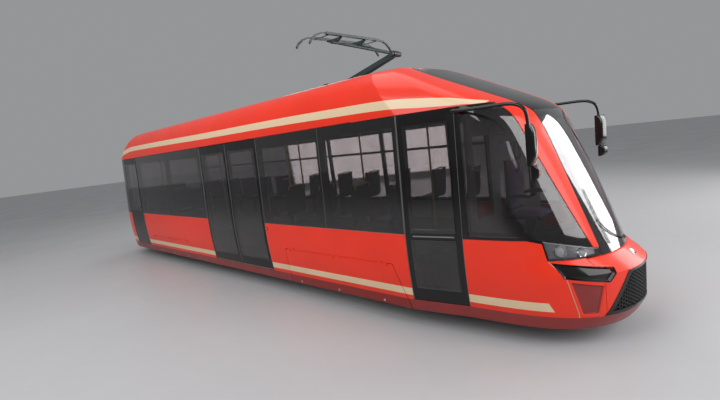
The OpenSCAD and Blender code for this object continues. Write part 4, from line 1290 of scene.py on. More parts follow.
    def screens(self) -> None:
        """Make the windscreen, the cab side panes, the brow and the black posts."""
        glass = self.finishes.get("screen_tint", "side_tint")
        bag = Bag()
        bag.panel(End.FRONT, (0.756, 1.244), (0.9505, 2.52), 0.0005, 0.0085, (56, 50))
        bag.make("windscreen_pane", "car_body", glass, "tinted_glass", 0.0, ["windscreen"])
        bag = Bag()
        foot, inner = self.pane_foot, self.pane_edge
        bag.panel(End.FRONT, (0.03, inner), (foot, 2.58), 0.001, 0.0095, (40, 30), 1)
        bag.both()
        left = Bag()
        left.panel(End.FRONT, (-0.96, -0.03), (1.213, 2.58), 0.001, 0.0095, (12, 12))
        bag.add([(x, -y, z) for x, y, z in left.points], left.faces, 1)
        bag.make("cab_side_panes", "car_body", glass, "tinted_glass", 0.0, ["cab_glass"])
        bag = Bag()
        bag.panel(End.FRONT, (self.brow_edge, lambda z: 2 - self.brow_edge(z)), (2.5206, 3.27), 0.0, 0.05, (60, 32))
        bag.make("brow_shell", "car_body", self.finishes.get("gloss_black"), "band_black", 0.003, ["brow"])
        bag = Bag()
        bag.panel(End.FRONT, (0.0, inner), (2.583, 2.65), 0.0, 0.05, (30, 3))
        bag.panel(End.FRONT, (0.0, 0.0285), (1.208, 2.5825), 0.0, 0.05, (2, 24))
        bag.panel(End.FRONT, (0.031, inner), (lambda u: FORM.waist_line(u) + 0.008, 1.25), 0.0115, 0.05, (30, 3))
        bag.panel(End.FRONT, (lambda z: inner(z) - 0.018, inner), (foot, 2.58), 0.0105, 0.03, (2, 30))
        sash = (lambda u: FORM.waist_line(u) - 0.034, lambda u: FORM.waist_line(u) + 0.001)
        bag.panel(End.FRONT, (0.0, 0.402), sash, -0.0012, 0.004, (30, 2))
        bag.panel(End.REAR, (0.0, 0.22), (1.21, 2.65), 0.0, 0.05, (16, 24))
        bag.both()
        left = Bag()
        for low, high in ((-1.0, -0.90), (-0.10, -0.004)):
            left.panel(End.FRONT, (low, high), (1.211, 2.65), 0.0112, 0.05, (3, 20))
        left.panel(End.FRONT, (-0.90, -0.10), (1.211, 1.27), 0.0112, 0.05, (6, 2))
        left.panel(End.FRONT, (-0.90, -0.10), (2.52, 2.65), 0.0112, 0.05, (6, 2))
        bag.add([(x, -y, z) for x, y, z in left.points], left.faces)
        bag.make("cab_posts", "car_body", self.finishes.get("gloss_black"), "band_black", 0.002, ["corner_posts"])
        frit = Bag()
        for sides, heights, cells in (
                ((0.7565, 0.792), (0.952, 2.518), (4, 40)), ((1.208, 1.2435), (0.952, 2.518), (4, 40)),
                ((0.792, 1.208), (0.952, 1.03), (40, 3)), ((0.792, 1.208), (2.40, 2.518), (40, 4))):
            frit.panel(End.FRONT, sides, heights, 0.0095, 0.0110, cells)
        frit.make("windscreen_border", "car_body", self.finishes.get("gloss_black"), "band_black", 0.0)

    def trim(self) -> None:
        """Add the blank badge, the wiper and the rubber round the windscreen."""
        bag = Bag()
        spot = Vector(FORM.skin(End.FRONT, 1.0, 0.885))
        out = Vector((0.62, 0, 0.78))
        bag.lathe([(0.044, -0.004), (0.044, 0.003), (0.040, 0.006), (0.036, 0.003), (0.0, 0.0025)], spot, out, 48, 0)
        path = spline([FORM.skin(End.FRONT, u, z, -0.010) for u, z in ((1.10, 1.00), (1.02, 1.03), (0.93, 1.10),
                                                                     (0.86, 1.20), (0.83, 1.30))])
        bag.tube(path, lambda s: mix(0.011, 0.005, s), 12, 1, 0.6)
        blade = spline([FORM.skin(End.FRONT, u, z, -0.007) for u, z in ((0.845, 1.04), (0.838, 1.30), (0.835, 1.62))])
        bag.tube(blade, 0.006, 10, 1, 0.6)
        bag.lathe([(0.022, -0.012), (0.022, 0.004), (0.014, 0.012)], FORM.skin(End.FRONT, 1.10, 1.0), (0.9, 0, 0.4),
                  24, 1)
        for u in (0.7515, 1.2485):
            gap = spline([FORM.skin(End.FRONT, u, z, 0.004) for z in steps(0.955, 2.515, 14)], 2)
            bag.tube(gap, 0.006, 8, 1)
        bag.make("nose_trim", "car_body", self.finishes.get("chrome", "rubber"), "band_black", 0.0008)

    def build(self) -> None:
        """Make the front end."""
        self.painted()
        self.recesses()
        self.grille()
        self.lamps()
        self.screens()
        self.trim()


@dataclass
class Tail:
    """The rear end: panel, glass, roof and tow cover."""

    finishes: Finishes

    def build(self) -> None:
        """Make the rear end."""
        red = self.finishes.get("coach_red", "rubber", "gloss_black")
        bag = Bag()
        bag.panel(End.REAR, (0.0, 2.0), (0.36, 1.209), 0.0, 0.05, (110, 26))
        bag.make("rear_shell", "car_body", red, "body_red", 0.003, ["rear_panel"])
        bag = Bag()
        bag.panel(End.REAR, (-2.0, 4.0), (2.6505, 3.27), 0.0, 0.05, (130, 24))
        bag.make("rear_roof_shell", "car_body", red, "body_red", 0.0012, ["rear_roof"])
        bag = Bag()
        bag.panel(End.REAR, (0.225, 1.775), (1.2105, 2.648), 0.0, 0.012, (90, 30))
        bag.make("rear_pane", "car_body", self.finishes.get("side_tint"), "tinted_glass", 0.0, ["rear_glass"])
        bag = Bag()
        for sides, heights, cells in (
                ((0.225, 0.262), (1.211, 2.647), (3, 24)), ((1.738, 1.775), (1.211, 2.647), (3, 24)),
                ((0.262, 1.738), (1.211, 1.275), (80, 3)), ((0.262, 1.738), (2.50, 2.647), (80, 4)),
                ((0.60, 0.607), (1.275, 2.50), (1, 20)), ((1.393, 1.40), (1.275, 2.50), (1, 20))):
            bag.panel(End.REAR, sides, heights, 0.0135, 0.020, cells)
        bag.panel(End.REAR, (0.0, 2.0), (1.2055, 1.2135), -0.002, 0.006, (100, 1))
        bag.make("rear_frame", "car_body", self.finishes.get("gloss_black"), "band_black", 0.001)
        bag = Bag()
        bag.panel(End.REAR, (0.72, 1.28), (0.40, 0.545), -0.003, 0.003, (30, 4), 0)
        bag.panel(End.REAR, (0.86, 1.14), (0.60, 0.72), -0.004, 0.002, (20, 3), 1)
        for u in (0.76, 1.24):
            bag.lathe([(0.012, 0.0), (0.012, 0.005), (0.009, 0.007)], FORM.skin(End.REAR, u, 0.47), (-1, 0, 0), 20, 1)
        bag.make("tow_cover", "car_body", self.finishes.get("skirt_red", "gloss_black"), "skirt_red", 0.002)


@dataclass
class Doors:
    """The three doorways with their leaves, glass and seals."""

    finishes: Finishes
    leaves: tuple[tuple[float, float, float], ...] = (
        (-5.292, -4.428, 1.30), (-0.912, 0.101, 0.56), (0.109, 1.122, 0.56))

    def straight(self) -> tuple[Bag, Bag, Bag]:
        """Make the faces of the rear and centre doors.

        Returns:
            The frames with their seals, the glass, and the portals.
        """
        frames, panes, portals = Bag(), Bag(), Bag()
        for a, b, low in self.leaves:
            zs = sorted({0.366, 0.45, low, 0.70, 0.85, 1.0, 1.21, 1.6, 2.0, 2.48, 2.644})
            zs = [z for z in zs if z <= 0.45 or z >= low or low > 1.0]
            frames.wall([a, a + 0.085, b - 0.085, b], zs, 0.006, 0.05, outside(a + 0.085, b - 0.085, low, 2.48))
            glass = [low - 0.02, *[z for z in (0.70, 0.85, 1.0, 1.21, 1.6, 2.0) if z > low], 2.50]
            panes.wall([a + 0.06, b - 0.06], glass, 0.0005, 0.0057)
            # painted highlight: the seals at the leaf edges and foot take the light grey that stands in for highlight
            # lines
            for x in (a - 0.0045, b + 0.0005):
                frames.wall([x, x + 0.004], steps(0.366, 2.644, 12), 0.001, 0.03, None, 1)
            frames.wall([a + 0.02, b - 0.02], [0.366, 0.378], -0.001, 0.03, None, 1)
        for a, b, out in ((-5.30, -4.42, 0.005), (-0.92, 1.13, 0.05)):
            zs = [0.36, 0.39, 0.5, 0.65, 0.8, 1.0, 1.21, 1.7, 2.2, 2.56, 2.65]
            portals.wall([a - out, a + 0.04, b - 0.04, b + 0.05], zs, 0.0508, 0.094,
                         outside(a + 0.04, b - 0.04, 0.39, 2.56))
        for x in (-4.40, 1.16):
            spot = (x, -FORM.side_y(1.12) - 0.0005, 1.12)
            frames.lathe([(0.032, -0.002), (0.032, 0.004), (0.026, 0.007), (0.020, 0.006)], spot, (0, -1, 0), 32, 0)
            frames.lathe([(0.019, 0.004), (0.017, 0.009), (0.0, 0.010)], spot, (0, -1, 0), 28, 2)
        return frames, panes, portals

    def front(self, frames: Bag, panes: Bag, portals: Bag) -> None:
        """Add the front door, whose leaf follows the taper of the nose.

        Args:
            frames: takes the leaf.
            panes: takes its glass.
            portals: takes its doorway.
        """
        span = (-0.985, -0.015)

        def solid(low: float, high: float, holes: Sequence[tuple[float, float, float, float]]
                  ) -> Callable[[float, float], bool]:
            """Return a test over shares of the leaf that leaves holes out.

            Args:
                low: height of the foot.
                high: height of the head.
                holes: the holes, each as two sides and two heights.

            Returns:
                The test.
            """
            def test(a: float, b: float) -> bool:
                """Say whether a share of the leaf is solid.

                Args:
                    a: share of the way round.
                    b: share of the way up.

                Returns:
                    True where it is solid.
                """
                u, z = mix(span[0], span[1], a), mix(low, high, b)
                return not any(ua < u < ub and za < z < zb for ua, ub, za, zb in holes)
            return test

        holes = ((-0.86, -0.14, 0.56, 1.12), (-0.86, -0.14, 1.26, 2.48))
        frames.panel(End.FRONT, span, (0.366, 2.644), 0.0075, 0.05, (32, 68), 0, solid(0.366, 2.644, holes))
        portals.panel(End.FRONT, (-1.0, -0.002), (0.36, 2.65), 0.0512, 0.095, (30, 60), 0,
                      solid(0.36, 2.65, ((-0.94, -0.05, 0.39, 2.56),)))
        panes.panel(End.FRONT, (-0.89, -0.11), (0.53, 1.15), 0.0006, 0.0068, (16, 10))
        panes.panel(End.FRONT, (-0.89, -0.11), (1.23, 2.51), 0.0006, 0.0068, (16, 16))
        # painted highlight: the light grey edge seals of the front leaf stand in for highlight lines
        for u in (-0.9925, -0.0075):
            frames.panel(End.FRONT, (u - 0.0035, u + 0.0035), (0.366, 2.644), 0.002, 0.03, (1, 40), 1)
        rail = spline([FORM.skin(End.FRONT, u, 1.19, 0.012) for u in (-0.86, -0.6, -0.4, -0.14)], 4)
        frames.tube(rail, 0.010, 16, 1)

    def build(self) -> None:
        """Make the doorways."""
        frames, panes, portals = self.straight()
        self.front(frames, panes, portals)
        for x in (-0.905, 1.115, -5.28, -4.44):
            frames.tube([(x, -1.075, 1.02), (x, -1.055, 1.05), (x, -1.055, 1.70), (x, -1.075, 1.73)], 0.014, 16, 4)
        frames.make("door_frames", "car_body",
                    self.finishes.get("gloss_black", "trim_and_highlight_grey", "lamp_amber", "chrome", "rail_paint"), "band_black",
                    0.002, ["door_leaves"])
        panes.make("door_panes", "car_body", self.finishes.get("side_tint"), "tinted_glass", 0.0, ["door_glass"])
        portals.make("door_ways", "car_body", self.finishes.get("gloss_black"), "band_black", 0.002,
                     ["door_portals"])


@dataclass
class RoofGear:
    """The sunk roof deck and the equipment that stands on it."""

    finishes: Finishes
    deck: float = 3.14
    boxes: tuple[tuple[float, float, float, float], ...] = (
        (-4.20, -2.70, 0.48, 0.19), (-2.35, -1.25, 0.52, 0.17), (-0.90, 0.25, 0.50, 0.18), (0.50, 1.15, 0.45, 0.15))

    def caps(self) -> None:
        """Cover both ends of the deck with the red of the roof."""
        bag = Bag()
        for end, foot in ((End.FRONT, 3.37), (End.REAR, 4.41)):
            def lid(u: float, share: float, t: float, end: End = end, foot: float = foot) -> Point:
                """Return a point of the lid between the deck's wall and the end's upper edge.

                Args:
                    u: place round the end.
                    share: share of the way out from the deck.
                    t: depth below the lid.
                    end: which end.
                    foot: where the deck's wall stands.

                Returns:
                    The point.
                """
                x, y, _ = FORM.skin(end, u, FORM.roof)
                return mix(math.copysign(foot, x), x, share), y, FORM.roof + 0.0012 - t
            bag.shell(lid, steps(-1, 3, 60), steps(0, 1, 10), 0.0, 0.0035)
        bag.make("roof_end_covers", "car_body", self.finishes.get("roof_red"), "body_red", 0.0)

    def build(self) -> None:
        """Make the boxes with their lids, louvres, fans and pipes."""
        self.finishes.dress("roof_grey", "roof_grey", "roof_deck")
        self.caps()
        bag, z = Bag(), self.deck
        for a, b, w, h in self.boxes:
            bag.box((a, -w, z + 0.01), (b, w, z + h - 0.022))
            bag.box((a - 0.008, -w - 0.008, z + h - 0.026), (b + 0.008, w + 0.008, z + h))
            for x in steps(a + 0.06, b - 0.06, 6):
                for side in (-1, 1):
                    bag.box((x - 0.02, side * (w + 0.004) - 0.004, z + 0.012), (x + 0.02, side * (w + 0.004) + 0.004,
                                                                               z + h - 0.03), 1)
            for x in (a + 0.09, b - 0.09):
                for side in (-1, 1):
                    bag.lathe([(0.022, 0.0), (0.022, 0.006), (0.011, 0.008), (0.011, 0.018)],
                              (x, side * (w - 0.06), z + h - 0.003), (0, 0, 1), 16, 2)
            bag.box((a, -w, z - 0.001), (b, w, z + 0.012), 1)
        for x in (-3.83, -3.07):
            bag.lathe([(0.26, 0.0), (0.26, 0.014), (0.24, 0.016), (0.235, 0.004), (0.0, 0.003)], (x, 0, 3.325),
                      (0, 0, 1), 48, 1)
            for r in (0.06, 0.10, 0.14, 0.18, 0.22):
                ring = [(x + r * math.cos(t), r * math.sin(t), 3.336) for t in steps(0, 2 * math.pi, 40)]
                bag.tube(ring, 0.004, 6, 2)
            for k in range(6):
                t = math.pi * k / 6
                bag.tube([(x - 0.235 * math.cos(t), -0.235 * math.sin(t), 3.333),
                          (x + 0.235 * math.cos(t), 0.235 * math.sin(t), 3.333)], 0.004, 6, 2)
        for x in steps(-2.25, -1.35, 14):
            bag.box((x, -0.44, 3.309), (x + 0.028, 0.44, 3.318), 1)
        for y in (-0.62, -0.66, 0.62):
            bag.tube(spline([(-4.35, y, 3.165), (-2.5, y, 3.165), (0.4, y, 3.165), (1.6, y * 0.92, 3.165),
                             (1.85, y * 0.8, 3.19)]), 0.016, 12, 1)
        for x in steps(-4.2, 1.4, 9):
            bag.box((x, -0.69, 3.139), (x + 0.03, -0.59, 3.186), 2)
            bag.box((x, 0.59, 3.139), (x + 0.03, 0.65, 3.186), 2)
        bag.make("roof_equipment", "car_body", self.finishes.get("box_grey", "desk_black", "spring_steel"),
                 "roof_grey", 0.004, ["roof_boxes"])


@dataclass
class Saloon:
    """The inside: seats, poles, ceiling, cab wall and the driver's place."""

    finishes: Finishes
    right: tuple[float, ...] = (-3.90, -3.15, -2.40, -1.65, 1.50, 2.25, 3.00, 3.70)
    left: tuple[float, ...] = (-4.70, -3.90, -3.15, -2.40, -1.65, -0.90, 0.0, 0.90, 1.65, 2.40, 3.15, 3.80)
    profile: tuple[tuple[float, float], ...] = (
        (0.205, 0.415), (0.195, 0.440), (0.12, 0.442), (0.0, 0.432), (-0.10, 0.432), (-0.150, 0.450),
        (-0.172, 0.52), (-0.182, 0.66), (-0.190, 0.80), (-0.198, 0.885), (-0.212, 0.898))

    def seat(self, shells: Bag, pads: Bag, x: float, y: float, way: float, floor: float = 0.90) -> None:
        """Add one seat: its moulded shell on a leg, and its pads.

        Args:
            shells: takes the shell and the leg.
            pads: takes the upholstered pads.
            x: place along the car.
            y: place across it.
            way: 1 facing forwards, -1 facing backwards.
            floor: height of the floor it stands on.
        """
        side = spline([(a, 0.0, b) for a, b in self.profile], 3)

        def place(k: float, w: float, t: float) -> Point:
            """Return a point of the seat at a step along its profile and a share of its width.

            Args:
                k: step along the profile.
                w: share of the half width.
                t: depth below the seat's face.

            Returns:
                The point.
            """
            i = int(clamp(round(k), 0, len(side) - 1))
            p, q = side[max(i - 1, 0)], side[min(i + 1, len(side) - 1)]
            nx, nz = q[2] - p[2], p[0] - q[0]
            size = math.hypot(nx, nz)
            dish = 0.018 * w ** 4 - t
            return (x + way * (side[i][0] + nx / size * dish), y + 0.2 * w, floor + side[i][2] + nz / size * dish)

        n = len(side) - 1
        shells.shell(place, [float(k) for k in range(n + 1)], steps(-1, 1, 8), 0.0, 0.014)

        def pad(k0: int, k1: int) -> None:
            """Add a crowned pad between two steps of the profile.

            Args:
                k0: the step it starts at.
                k1: the step it stops at.
            """
            def crown(k: float, w: float, t: float) -> Point:
                """Return a point of the pad, fullest in its middle.

                Args:
                    k: step along the profile.
                    w: share of the half width.
                    t: 0 for the upper face, above it for the lower.

                Returns:
                    The point.
                """
                a = clamp((k - k0) / (k1 - k0) * 2 - 1, -1, 1)
                rise = (1 - a ** 4) * (1 - abs(w / 0.86) ** 4)
                return place(k, w, t if t > 0 else -0.004 - 0.014 * rise)
            pads.shell(crown, [float(k) for k in range(k0, k1 + 1)], steps(-0.86, 0.86, 10), 0.0, 0.002)

        pad(5, n // 2 - 2)
        pad(n // 2 + 2, n - 3)
        shells.lathe([(0.075, 0.0), (0.075, 0.008), (0.030, 0.016), (0.026, 0.36), (0.06, 0.395), (0.08, 0.41)],
                     (x, y, floor), (0, 0, 1), 20, 1)
        shells.tube(spline([(x - way * 0.205, y - 0.15, floor + 0.84), (x - way * 0.225, y - 0.12, floor + 0.91),
                            (x - way * 0.225, y + 0.12, floor + 0.91), (x - way * 0.205, y + 0.15, floor + 0.84)]),
                    0.011, 10, 2)

    def seats(self) -> None:
        """Make the seats and the bench across the rear."""
        shells, pads = Bag(), Bag()
        for x in self.right:
            self.seat(shells, pads, x, -0.88, 1 if x < 0 else -1)
        for x in self.left:
            self.seat(shells, pads, x, 0.88, 1 if x < 0 else -1)
        shells.box((-5.89, -0.70, 0.901), (-5.52, 0.70, 1.265))
        shells.box((-5.975, -0.70, 0.901), (-5.905, 0.70, 1.79))
        for y in (-0.525, -0.175, 0.175, 0.525):
            def cushion(a: float, b: float, t: float, y: float = y) -> Point:
                """Return a point of the bench's seat cushion.

                Args:
                    a: share of the way from the middle to one edge, -1 to 1.
                    b: the same the other way.
                    t: 0 for the outer face, above it for the inner.
                    y: the cushion's place across the car.

                Returns:
                    The point.
                """
                rise = (1 - a ** 4) * (1 - b ** 4) * 0.045
                return -5.70 + 0.18 * a, y + 0.165 * b, (1.268 + rise) if t < 0.5 else 1.262
            def rest(a: float, b: float, t: float, y: float = y) -> Point:
                """Return a point of the bench's back cushion.

                Args:
                    a: share of the way from the middle to one edge, -1 to 1.
                    b: the same the other way.
                    t: 0 for the outer face, above it for the inner.
                    y: the cushion's place across the car.

                Returns:
                    The point.
                """
                rise = (1 - a ** 4) * (1 - b ** 4) * 0.045
                return (-5.900 + rise) if t < 0.5 else -5.908, y + 0.165 * b, 1.54 + 0.23 * a
            pads.shell(cushion, steps(-1, 1, 10), steps(-1, 1, 10), 0.0, 1.0)
            pads.shell(rest, steps(-1, 1, 10), steps(-1, 1, 10), 0.0, 1.0)
        shells.make("seat_shells", "car_body", self.finishes.get("seat_shell", "spring_steel", "rail_paint"),
                    "seat_fabric", 0.002, ["seats"])
        made = pads.make("seat_pads", "car_body", self.finishes.get("seat_fabric"), "seat_fabric", 0.0)

    def lining(self) -> None:
        """Make the ceiling, its lamps and the grab loops under the rails."""
        def arch(x: float, w: float, t: float) -> Point:
            """Return a point of the ceiling."""
            return x, w * 1.04, 3.02 - 0.30 * abs(w) ** 3 + t
        bag = Bag()
        bag.shell(arch, steps(-5.0, 4.15, 24), steps(-1, 1, 20), 0.0, 0.012)
        for y in (-0.62, 0.62):
            bag.shell(lambda x, w, t, y=y: (x, y + w, arch(0, (y + w) / 1.04, 0)[2] - 0.012 + t), steps(-4.9, 4.1, 20),
                      (-0.06, 0.06), 0.0, 0.010, None, 1)
        walls, low, high = Bag(), 0.905, 1.208
        for a, b in ((-5.30, -4.44), (-4.38, -0.96), (-0.90, 1.12), (1.18, 3.38)):
            walls.wall(steps(a, b, 8), (low, 1.0, 1.1, high), 0.0515, 0.056)
        for a, b in ((-4.38, -0.96), (1.18, 3.38)):
            bag.wall(steps(a, b, 8), (low, 1.0, 1.1, high), 0.0515, 0.056, None, 3)
        bag.add([(x, -y, z) for x, y, z in walls.points], walls.faces, 3)
        for y in (-0.58, 0.58):
            for x in steps(-4.1, 3.2, 12):
                if abs(x % 2.0) < 0.1:
                    continue
                loop = [(x, y + 0.045 * math.sin(t), 2.60 + 0.05 * math.cos(t)) for t in steps(0, 2 * math.pi, 20)]
                bag.tube(loop, 0.007, 8, 2)
                bag.box((x - 0.006, y - 0.012, 2.645), (x + 0.006, y + 0.012, 2.77), 2)
        bag.make("saloon_lining", "car_body", self.finishes.get("ceiling", "lamp_white", "desk_black", "cab_panel"),
                 "cab_panel", 0.001)

    def cab(self) -> None:
        """Make the driver's seat and desk."""
        bag, pads = Bag(), Bag()
        x, n = 5.20, 16
        bag.lathe([(0.16, 0.0), (0.16, 0.012), (0.055, 0.03), (0.05, 0.20), (0.075, 0.34)], (x, 0, 0.90),
                  (0, 0, 1), 32, 1)
        bag.box((x - 0.19, -0.21, 1.235), (x + 0.20, 0.21, 1.265))
        bag.box((x - 0.205, -0.20, 1.33), (x - 0.165, 0.20, 1.96))
        for side in (-1, 1):
            bag.tube(spline([(x - 0.17, side * 0.235, 1.50), (x - 0.02, side * 0.24, 1.53),
                             (x + 0.12, side * 0.24, 1.52)]), 0.022, 12)
        def cushion(a: float, b: float, t: float) -> Point:
            """Return a point of the seat's cushion.

            Args:
                a: share of the way from the middle to one edge, -1 to 1.
                b: the same the other way.
                t: 0 for the outer face, above it for the inner.

            Returns:
                The point.
            """
            rise = (1 - a ** 4) * (1 - b ** 4)
            return x + 0.005 + 0.195 * a, 0.205 * b, 1.285 + 0.055 * rise if t < 0.5 else 1.264
        def rest(a: float, b: float, t: float) -> Point:
            """Return a point of the seat's back.

            Args:
                a: share of the way from the middle to one edge, -1 to 1.
                b: the same the other way.
                t: 0 for the outer face, above it for the inner.

            Returns:
                The point.
            """
            rise = (1 - a ** 4) * (1 - b ** 4)
            return x - 0.158 + 0.055 * rise - 0.01 * a if t < 0.5 else x - 0.168, 0.19 * b, 1.66 + 0.30 * a
        pads.shell(cushion, steps(-1, 1, n), steps(-1, 1, n), 0.0, 1.0)
        pads.shell(rest, steps(-1, 1, n), steps(-1, 1, n), 0.0, 1.0)
        bag.shell(lambda a, b, t: (5.56 + 0.30 * a + 0.05 * (1 - b * b), 0.46 * b, 1.19 + 0.04 * a * a - t),
                  steps(0, 1, 8), steps(-1, 1, 20), 0.0, 0.03)
        bag.shell(lambda a, b, t: (5.62 + 0.24 * a + t, 0.42 * b, 0.905 + 0.28 * a), steps(0, 1, 3), steps(-1, 1, 6),
                  0.0, 0.02, None, 3)
        for y, w in ((-0.24, 0.11), (0.0, 0.13), (0.26, 0.10)):
            bag.shell(lambda a, b, t, y=y, w=w: (5.80 + 0.05 * a + t, y + w * b, 1.235 + 0.14 * a), (0.0, 1.0),
                      (-1.0, 1.0), 0.0, 0.012, None, 0)
            bag.shell(lambda a, b, t, y=y, w=w: (5.797 + 0.05 * a + t, y + w * b, 1.235 + 0.14 * a), (0.12, 0.88),
                      (-0.86, 0.86), 0.0, 0.002, None, 2)
        for k in range(14):
            bag.lathe([(0.010, 0.0), (0.010, 0.006), (0.006, 0.010)], (5.66 + 0.035 * (k // 7), -0.15 + 0.05 * (k % 7),
                                                                    1.193 + 0.004), (0, 0, 1), 12, 4 if k % 3 else 5)
        bag.lathe([(0.016, 0.0), (0.012, 0.02), (0.009, 0.07), (0.020, 0.085), (0.022, 0.11), (0.010, 0.125)],
                  (5.62, 0.34, 1.195), (-0.15, 0, 1), 20, 1)
        bag.make("driver_desk", "car_body", self.finishes.get("desk_black", "spring_steel", "display", "cab_panel",
                                                              "lamp_amber", "lamp_red"), "cab_panel", 0.003,
                 ["driver_place"])
        pads.make("driver_cushions", "car_body", self.finishes.get("seat_fabric"), "seat_fabric", 0.0)

    def build(self) -> None:
        """Make the inside."""
        self.seats()
        self.lining()
        self.cab()
        self.finishes.dress("floor_cover", "floor_cover", "floor")
        self.finishes.dress("rail_paint", "rail_paint", "handrails")
        self.finishes.dress("cab_panel", "cab_panel", "cab_wall", "cab_door")


@dataclass
class RunningGear:
    """The frame under the floor, the bogies and the wheels."""

    finishes: Finishes
    centre: float = 2.85
    wheelbase: float = 1.90
    axle: float = 0.353

    def bogie(self, name: str, body: str, x: float) -> None:
        """Add springs, bolts, hoses and sand pipes to a bogie.

        Args:
            name: the piece's name.
            body: the bogie's body.
            x: the bogie's centre along the car.
        """
        bag = Bag()
        for dx in (-0.13, 0.13):
            for y in (-0.72, 0.72):
                coil = [(x + dx + 0.082 * math.cos(t), y + 0.082 * math.sin(t), 0.548 + 0.095 * t / (8 * math.pi))
                        for t in steps(0, 8 * math.pi, 96)]
                bag.tube(coil, 0.0095, 8, 1)
        for dx in (-self.wheelbase / 2, self.wheelbase / 2):
            for side in (-1, 1):
                y = side * 0.9225
                bag.lathe([(0.088, -0.002), (0.088, 0.012), (0.070, 0.020), (0.0, 0.022)], (x + dx, y, self.axle),
                          (0, side, 0), 36)
                for k in range(6):
                    a = math.pi / 3 * k
                    spot = (x + dx + 0.074 * math.cos(a), y + side * 0.012, self.axle + 0.074 * math.sin(a))
                    bag.lathe([(0.009, 0.0), (0.009, 0.007), (0.006, 0.009)], spot, (0, side, 0), 6, 1)
                bag.tube(spline([(x + dx * 1.27, side * 0.90, 0.50), (x + dx * 1.36, side * 0.86, 0.36),
                                 (x + dx * 1.39, side * 0.76, 0.16), (x + dx * 1.375, side * 0.725, 0.075)]),
                         0.014, 12, 2)
        for side in (-1, 1):
            bag.tube(spline([(x - 0.9, side * 0.82, 0.56), (x - 0.4, side * 0.80, 0.575), (x, side * 0.79, 0.585),
                             (x + 0.4, side * 0.80, 0.575), (x + 0.9, side * 0.82, 0.56)]), 0.011, 10, 2)
            for dx in (-0.9, -0.45, 0.45, 0.9):
                bag.box((x + dx - 0.03, side * 0.875 - 0.02, 0.541), (x + dx + 0.03, side * 0.875 + 0.02, 0.552), 1)
        bag.make(name, body, self.finishes.get("bogie_paint", "spring_steel", "rubber"), "under_steel", 0.0015)

    def wheels(self, name: str, body: str, x: float) -> None:
        """Add hub bolts and brake disc slots to a wheelset.

        Args:
            name: the piece's name.
            body: the wheelset's body.
            x: its axle's place along the car.
        """
        bag = Bag()
        for side in (-1, 1):
            for k in range(8):
                a = math.pi / 4 * k + 0.2
                spot = (x + 0.118 * math.cos(a), side * 0.781, self.axle + 0.118 * math.sin(a))
                bag.lathe([(0.012, 0.0), (0.012, 0.010), (0.008, 0.013)], spot, (0, side, 0), 6)
            bag.lathe([(0.092, 0.0), (0.090, 0.010), (0.080, 0.014)], (x, side * 0.781, self.axle), (0, side, 0), 32)
        for k in range(18):
            a = 2 * math.pi * k / 18
            spot = Vector((x + 0.150 * math.cos(a), 0.199, self.axle + 0.150 * math.sin(a)))
            bag.lathe([(0.011, -0.001), (0.011, 0.0025)], spot, (0, -1, 0), 12)
        bag.make(name, body, self.finishes.get("spring_steel"), "wheel_steel", 0.001)

    def build(self) -> None:
        """Finish and detail everything below the floor."""
        self.finishes.dress("under_steel", "under_steel", "underframe", "bolsters", "jack_arms", "tow_brackets")
        self.finishes.dress("case_grey", "under_steel", "under_boxes")
        self.finishes.dress("bogie_paint", "under_steel", "bogie_front", "bogie_rear")
        self.finishes.dress("wheel_steel", "wheel_steel", "wheelset_a", "wheelset_b", "wheelset_c", "wheelset_d")
        half = self.wheelbase / 2
        self.bogie("bogie_fittings_front", "bogie_front", self.centre)
        self.bogie("bogie_fittings_rear", "bogie_rear", -self.centre)
        for letter, x in zip("abcd", (self.centre + half, self.centre - half, half - self.centre,
                                      -half - self.centre)):
            self.wheels(f"wheel_fittings_{letter}", f"wheelset_{letter}", x)


@dataclass
class Pantograph:
    """The single-arm pantograph's finishes, insulators, springs and strips."""

    finishes: Finishes
    foot: Point = (2.15, 0.0, 3.33)
    head: Point = (2.40, 0.0, 3.97)

    def build(self) -> None:
        """Finish the arms and add what they lack."""
        self.finishes.dress("panto_paint", "panto_paint", "panto_base", "panto_lower", "panto_upper", "panto_head")
        bag = Bag()
        for x in (1.93, 2.79):
            for y in (-0.47, 0.47):
                sheds = [(0.040, 0.0)]
                for k in range(4):
                    sheds += [(0.041, 0.004 + 0.014 * k), (0.058, 0.009 + 0.014 * k), (0.041, 0.014 + 0.014 * k)]
                bag.lathe([*sheds, (0.040, 0.060)], (x, y, 3.14), (0, 0, 1), 28)
        for y in (-0.26, 0.26):
            coil = [(2.22 + 0.40 * t / (24 * math.pi), y + 0.026 * math.cos(t), 3.275 + 0.026 * math.sin(t))
                    for t in steps(0, 24 * math.pi, 300)]
            bag.tube(coil, 0.0045, 6, 1)
            bag.tube([(2.62, y, 3.275), (2.74, y, 3.265)], 0.008, 10, 1)
        bag.lathe([(0.045, 0.0), (0.045, 0.30), (0.020, 0.31), (0.018, 0.42)], (2.30, -0.10, 3.235),
                  (1, 0, 0.02), 24, 2)
        bag.make("pantograph_foot_fittings", "car_body", self.finishes.get("ceramic", "spring_steel", "panto_paint"),
                 "panto_paint", 0.001)
        bag = Bag()
        for d in (-0.15, 0.15):
            x = self.head[0] + d
            bag.box((x - 0.019, -0.598, 4.059), (x + 0.019, 0.598, 4.066))
            for y in steps(-0.55, 0.55, 10):
                bag.lathe([(0.006, 0.0), (0.006, 0.003)], (x, y, 4.029), (0, 0, -1), 8, 1)
        bag.make("contact_carbons", "panto_head", self.finishes.get("carbon", "spring_steel"), "panto_paint", 0.001)


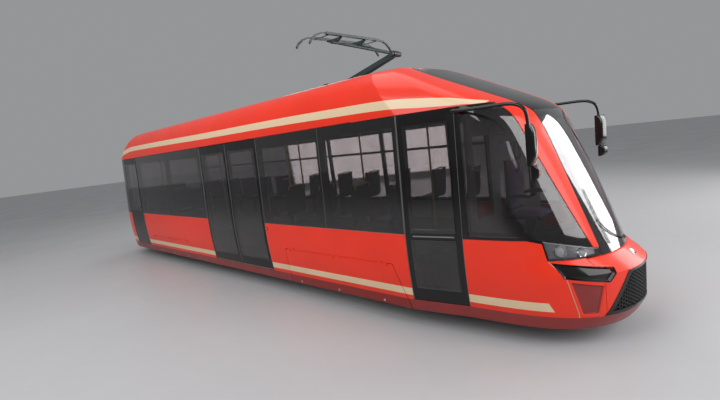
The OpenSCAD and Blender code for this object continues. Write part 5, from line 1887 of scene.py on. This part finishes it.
@dataclass
class Mirrors:
    """The mirror arms at the front corners with two heads each."""

    finishes: Finishes

    def head(self, bag: Bag, spot: Point, half: tuple[float, float, float], bulge: float) -> None:
        """Add a rounded mirror head with its glass.

        Args:
            bag: the piece's faces.
            spot: the head's centre.
            half: its half depth, half width and half height.
            bulge: how far its front stands out.
        """
        turn = Matrix.Rotation(math.radians(12), 3, "Z")

        def shape(a: float, b: float, t: float) -> Point:
            """Return a point of the head's casing or of its flat back.

            Args:
                a: share of the way from the middle to one edge, -1 to 1.
                b: the same the other way.
                t: 0 for the outer face, above it for the inner.

            Returns:
                The point.
            """
            ca, cb = math.copysign(abs(a) ** 0.8, a), math.copysign(abs(b) ** 0.8, b)
            edge = (1 - a ** 4) * (1 - b ** 4)
            depth = half[0] * (0.35 + 0.65 * edge) + bulge * edge if t < 0.5 else -half[0] * 0.9
            return tuple(Vector(spot) + turn @ Vector((depth, half[1] * ca, half[2] * cb)))

        bag.shell(shape, steps(-1, 1, 20), steps(-1, 1, 20), 0.0, 1.0)
        glass = Bag()
        glass.shell(lambda a, b, t: tuple(Vector(spot) + turn @ Vector((-half[0] * 0.9 - 0.003 + t, half[1] * 0.88 * a,
                                                                       half[2] * 0.9 * b))),
                    (-1.0, 1.0), (-1.0, 1.0), 0.0, 0.004)
        bag.add(glass.points, glass.faces, 1)

    def build(self) -> None:
        """Make both mirrors."""
        bag = Bag()
        arm = spline([(4.898, -1.052, 2.605), (4.898, -1.120, 2.597), (4.940, -1.140, 2.595), (5.25, -1.138, 2.592),
                      (5.50, -1.138, 2.590), (5.62, -1.140, 2.565), (5.69, -1.141, 2.500), (5.712, -1.145, 2.36),
                      (5.718, -1.145, 2.10), (5.722, -1.142, 1.97)])
        bag.tube(arm, lambda s: mix(0.021, 0.015, s), 20)
        bag.box((4.874, -1.062, 2.572), (4.922, -1.040, 2.640))
        self.head(bag, (5.728, -1.150, 2.182), (0.032, 0.088, 0.195), 0.020)
        self.head(bag, (5.748, -1.136, 1.912), (0.028, 0.070, 0.068), 0.016)
        bag.both()
        bag.make("mirror_arms", "car_body", self.finishes.get("gloss_black", "chrome"), "band_black", 0.002,
                 ["mirrors"])


def main() -> None:
    """Build the studio and the tram, piece by piece."""
    logging.basicConfig(level=logging.INFO, format="%(message)s")
    finishes = Finishes()
    finishes.build()
    for part in (Studio, BodySides, Nose, Tail, Doors, RoofGear, Saloon, RunningGear, Pantograph, Mirrors):
        LOG.info("building %s", part.__name__)
        part(finishes).build()


if __name__ == "__main__":
    main()
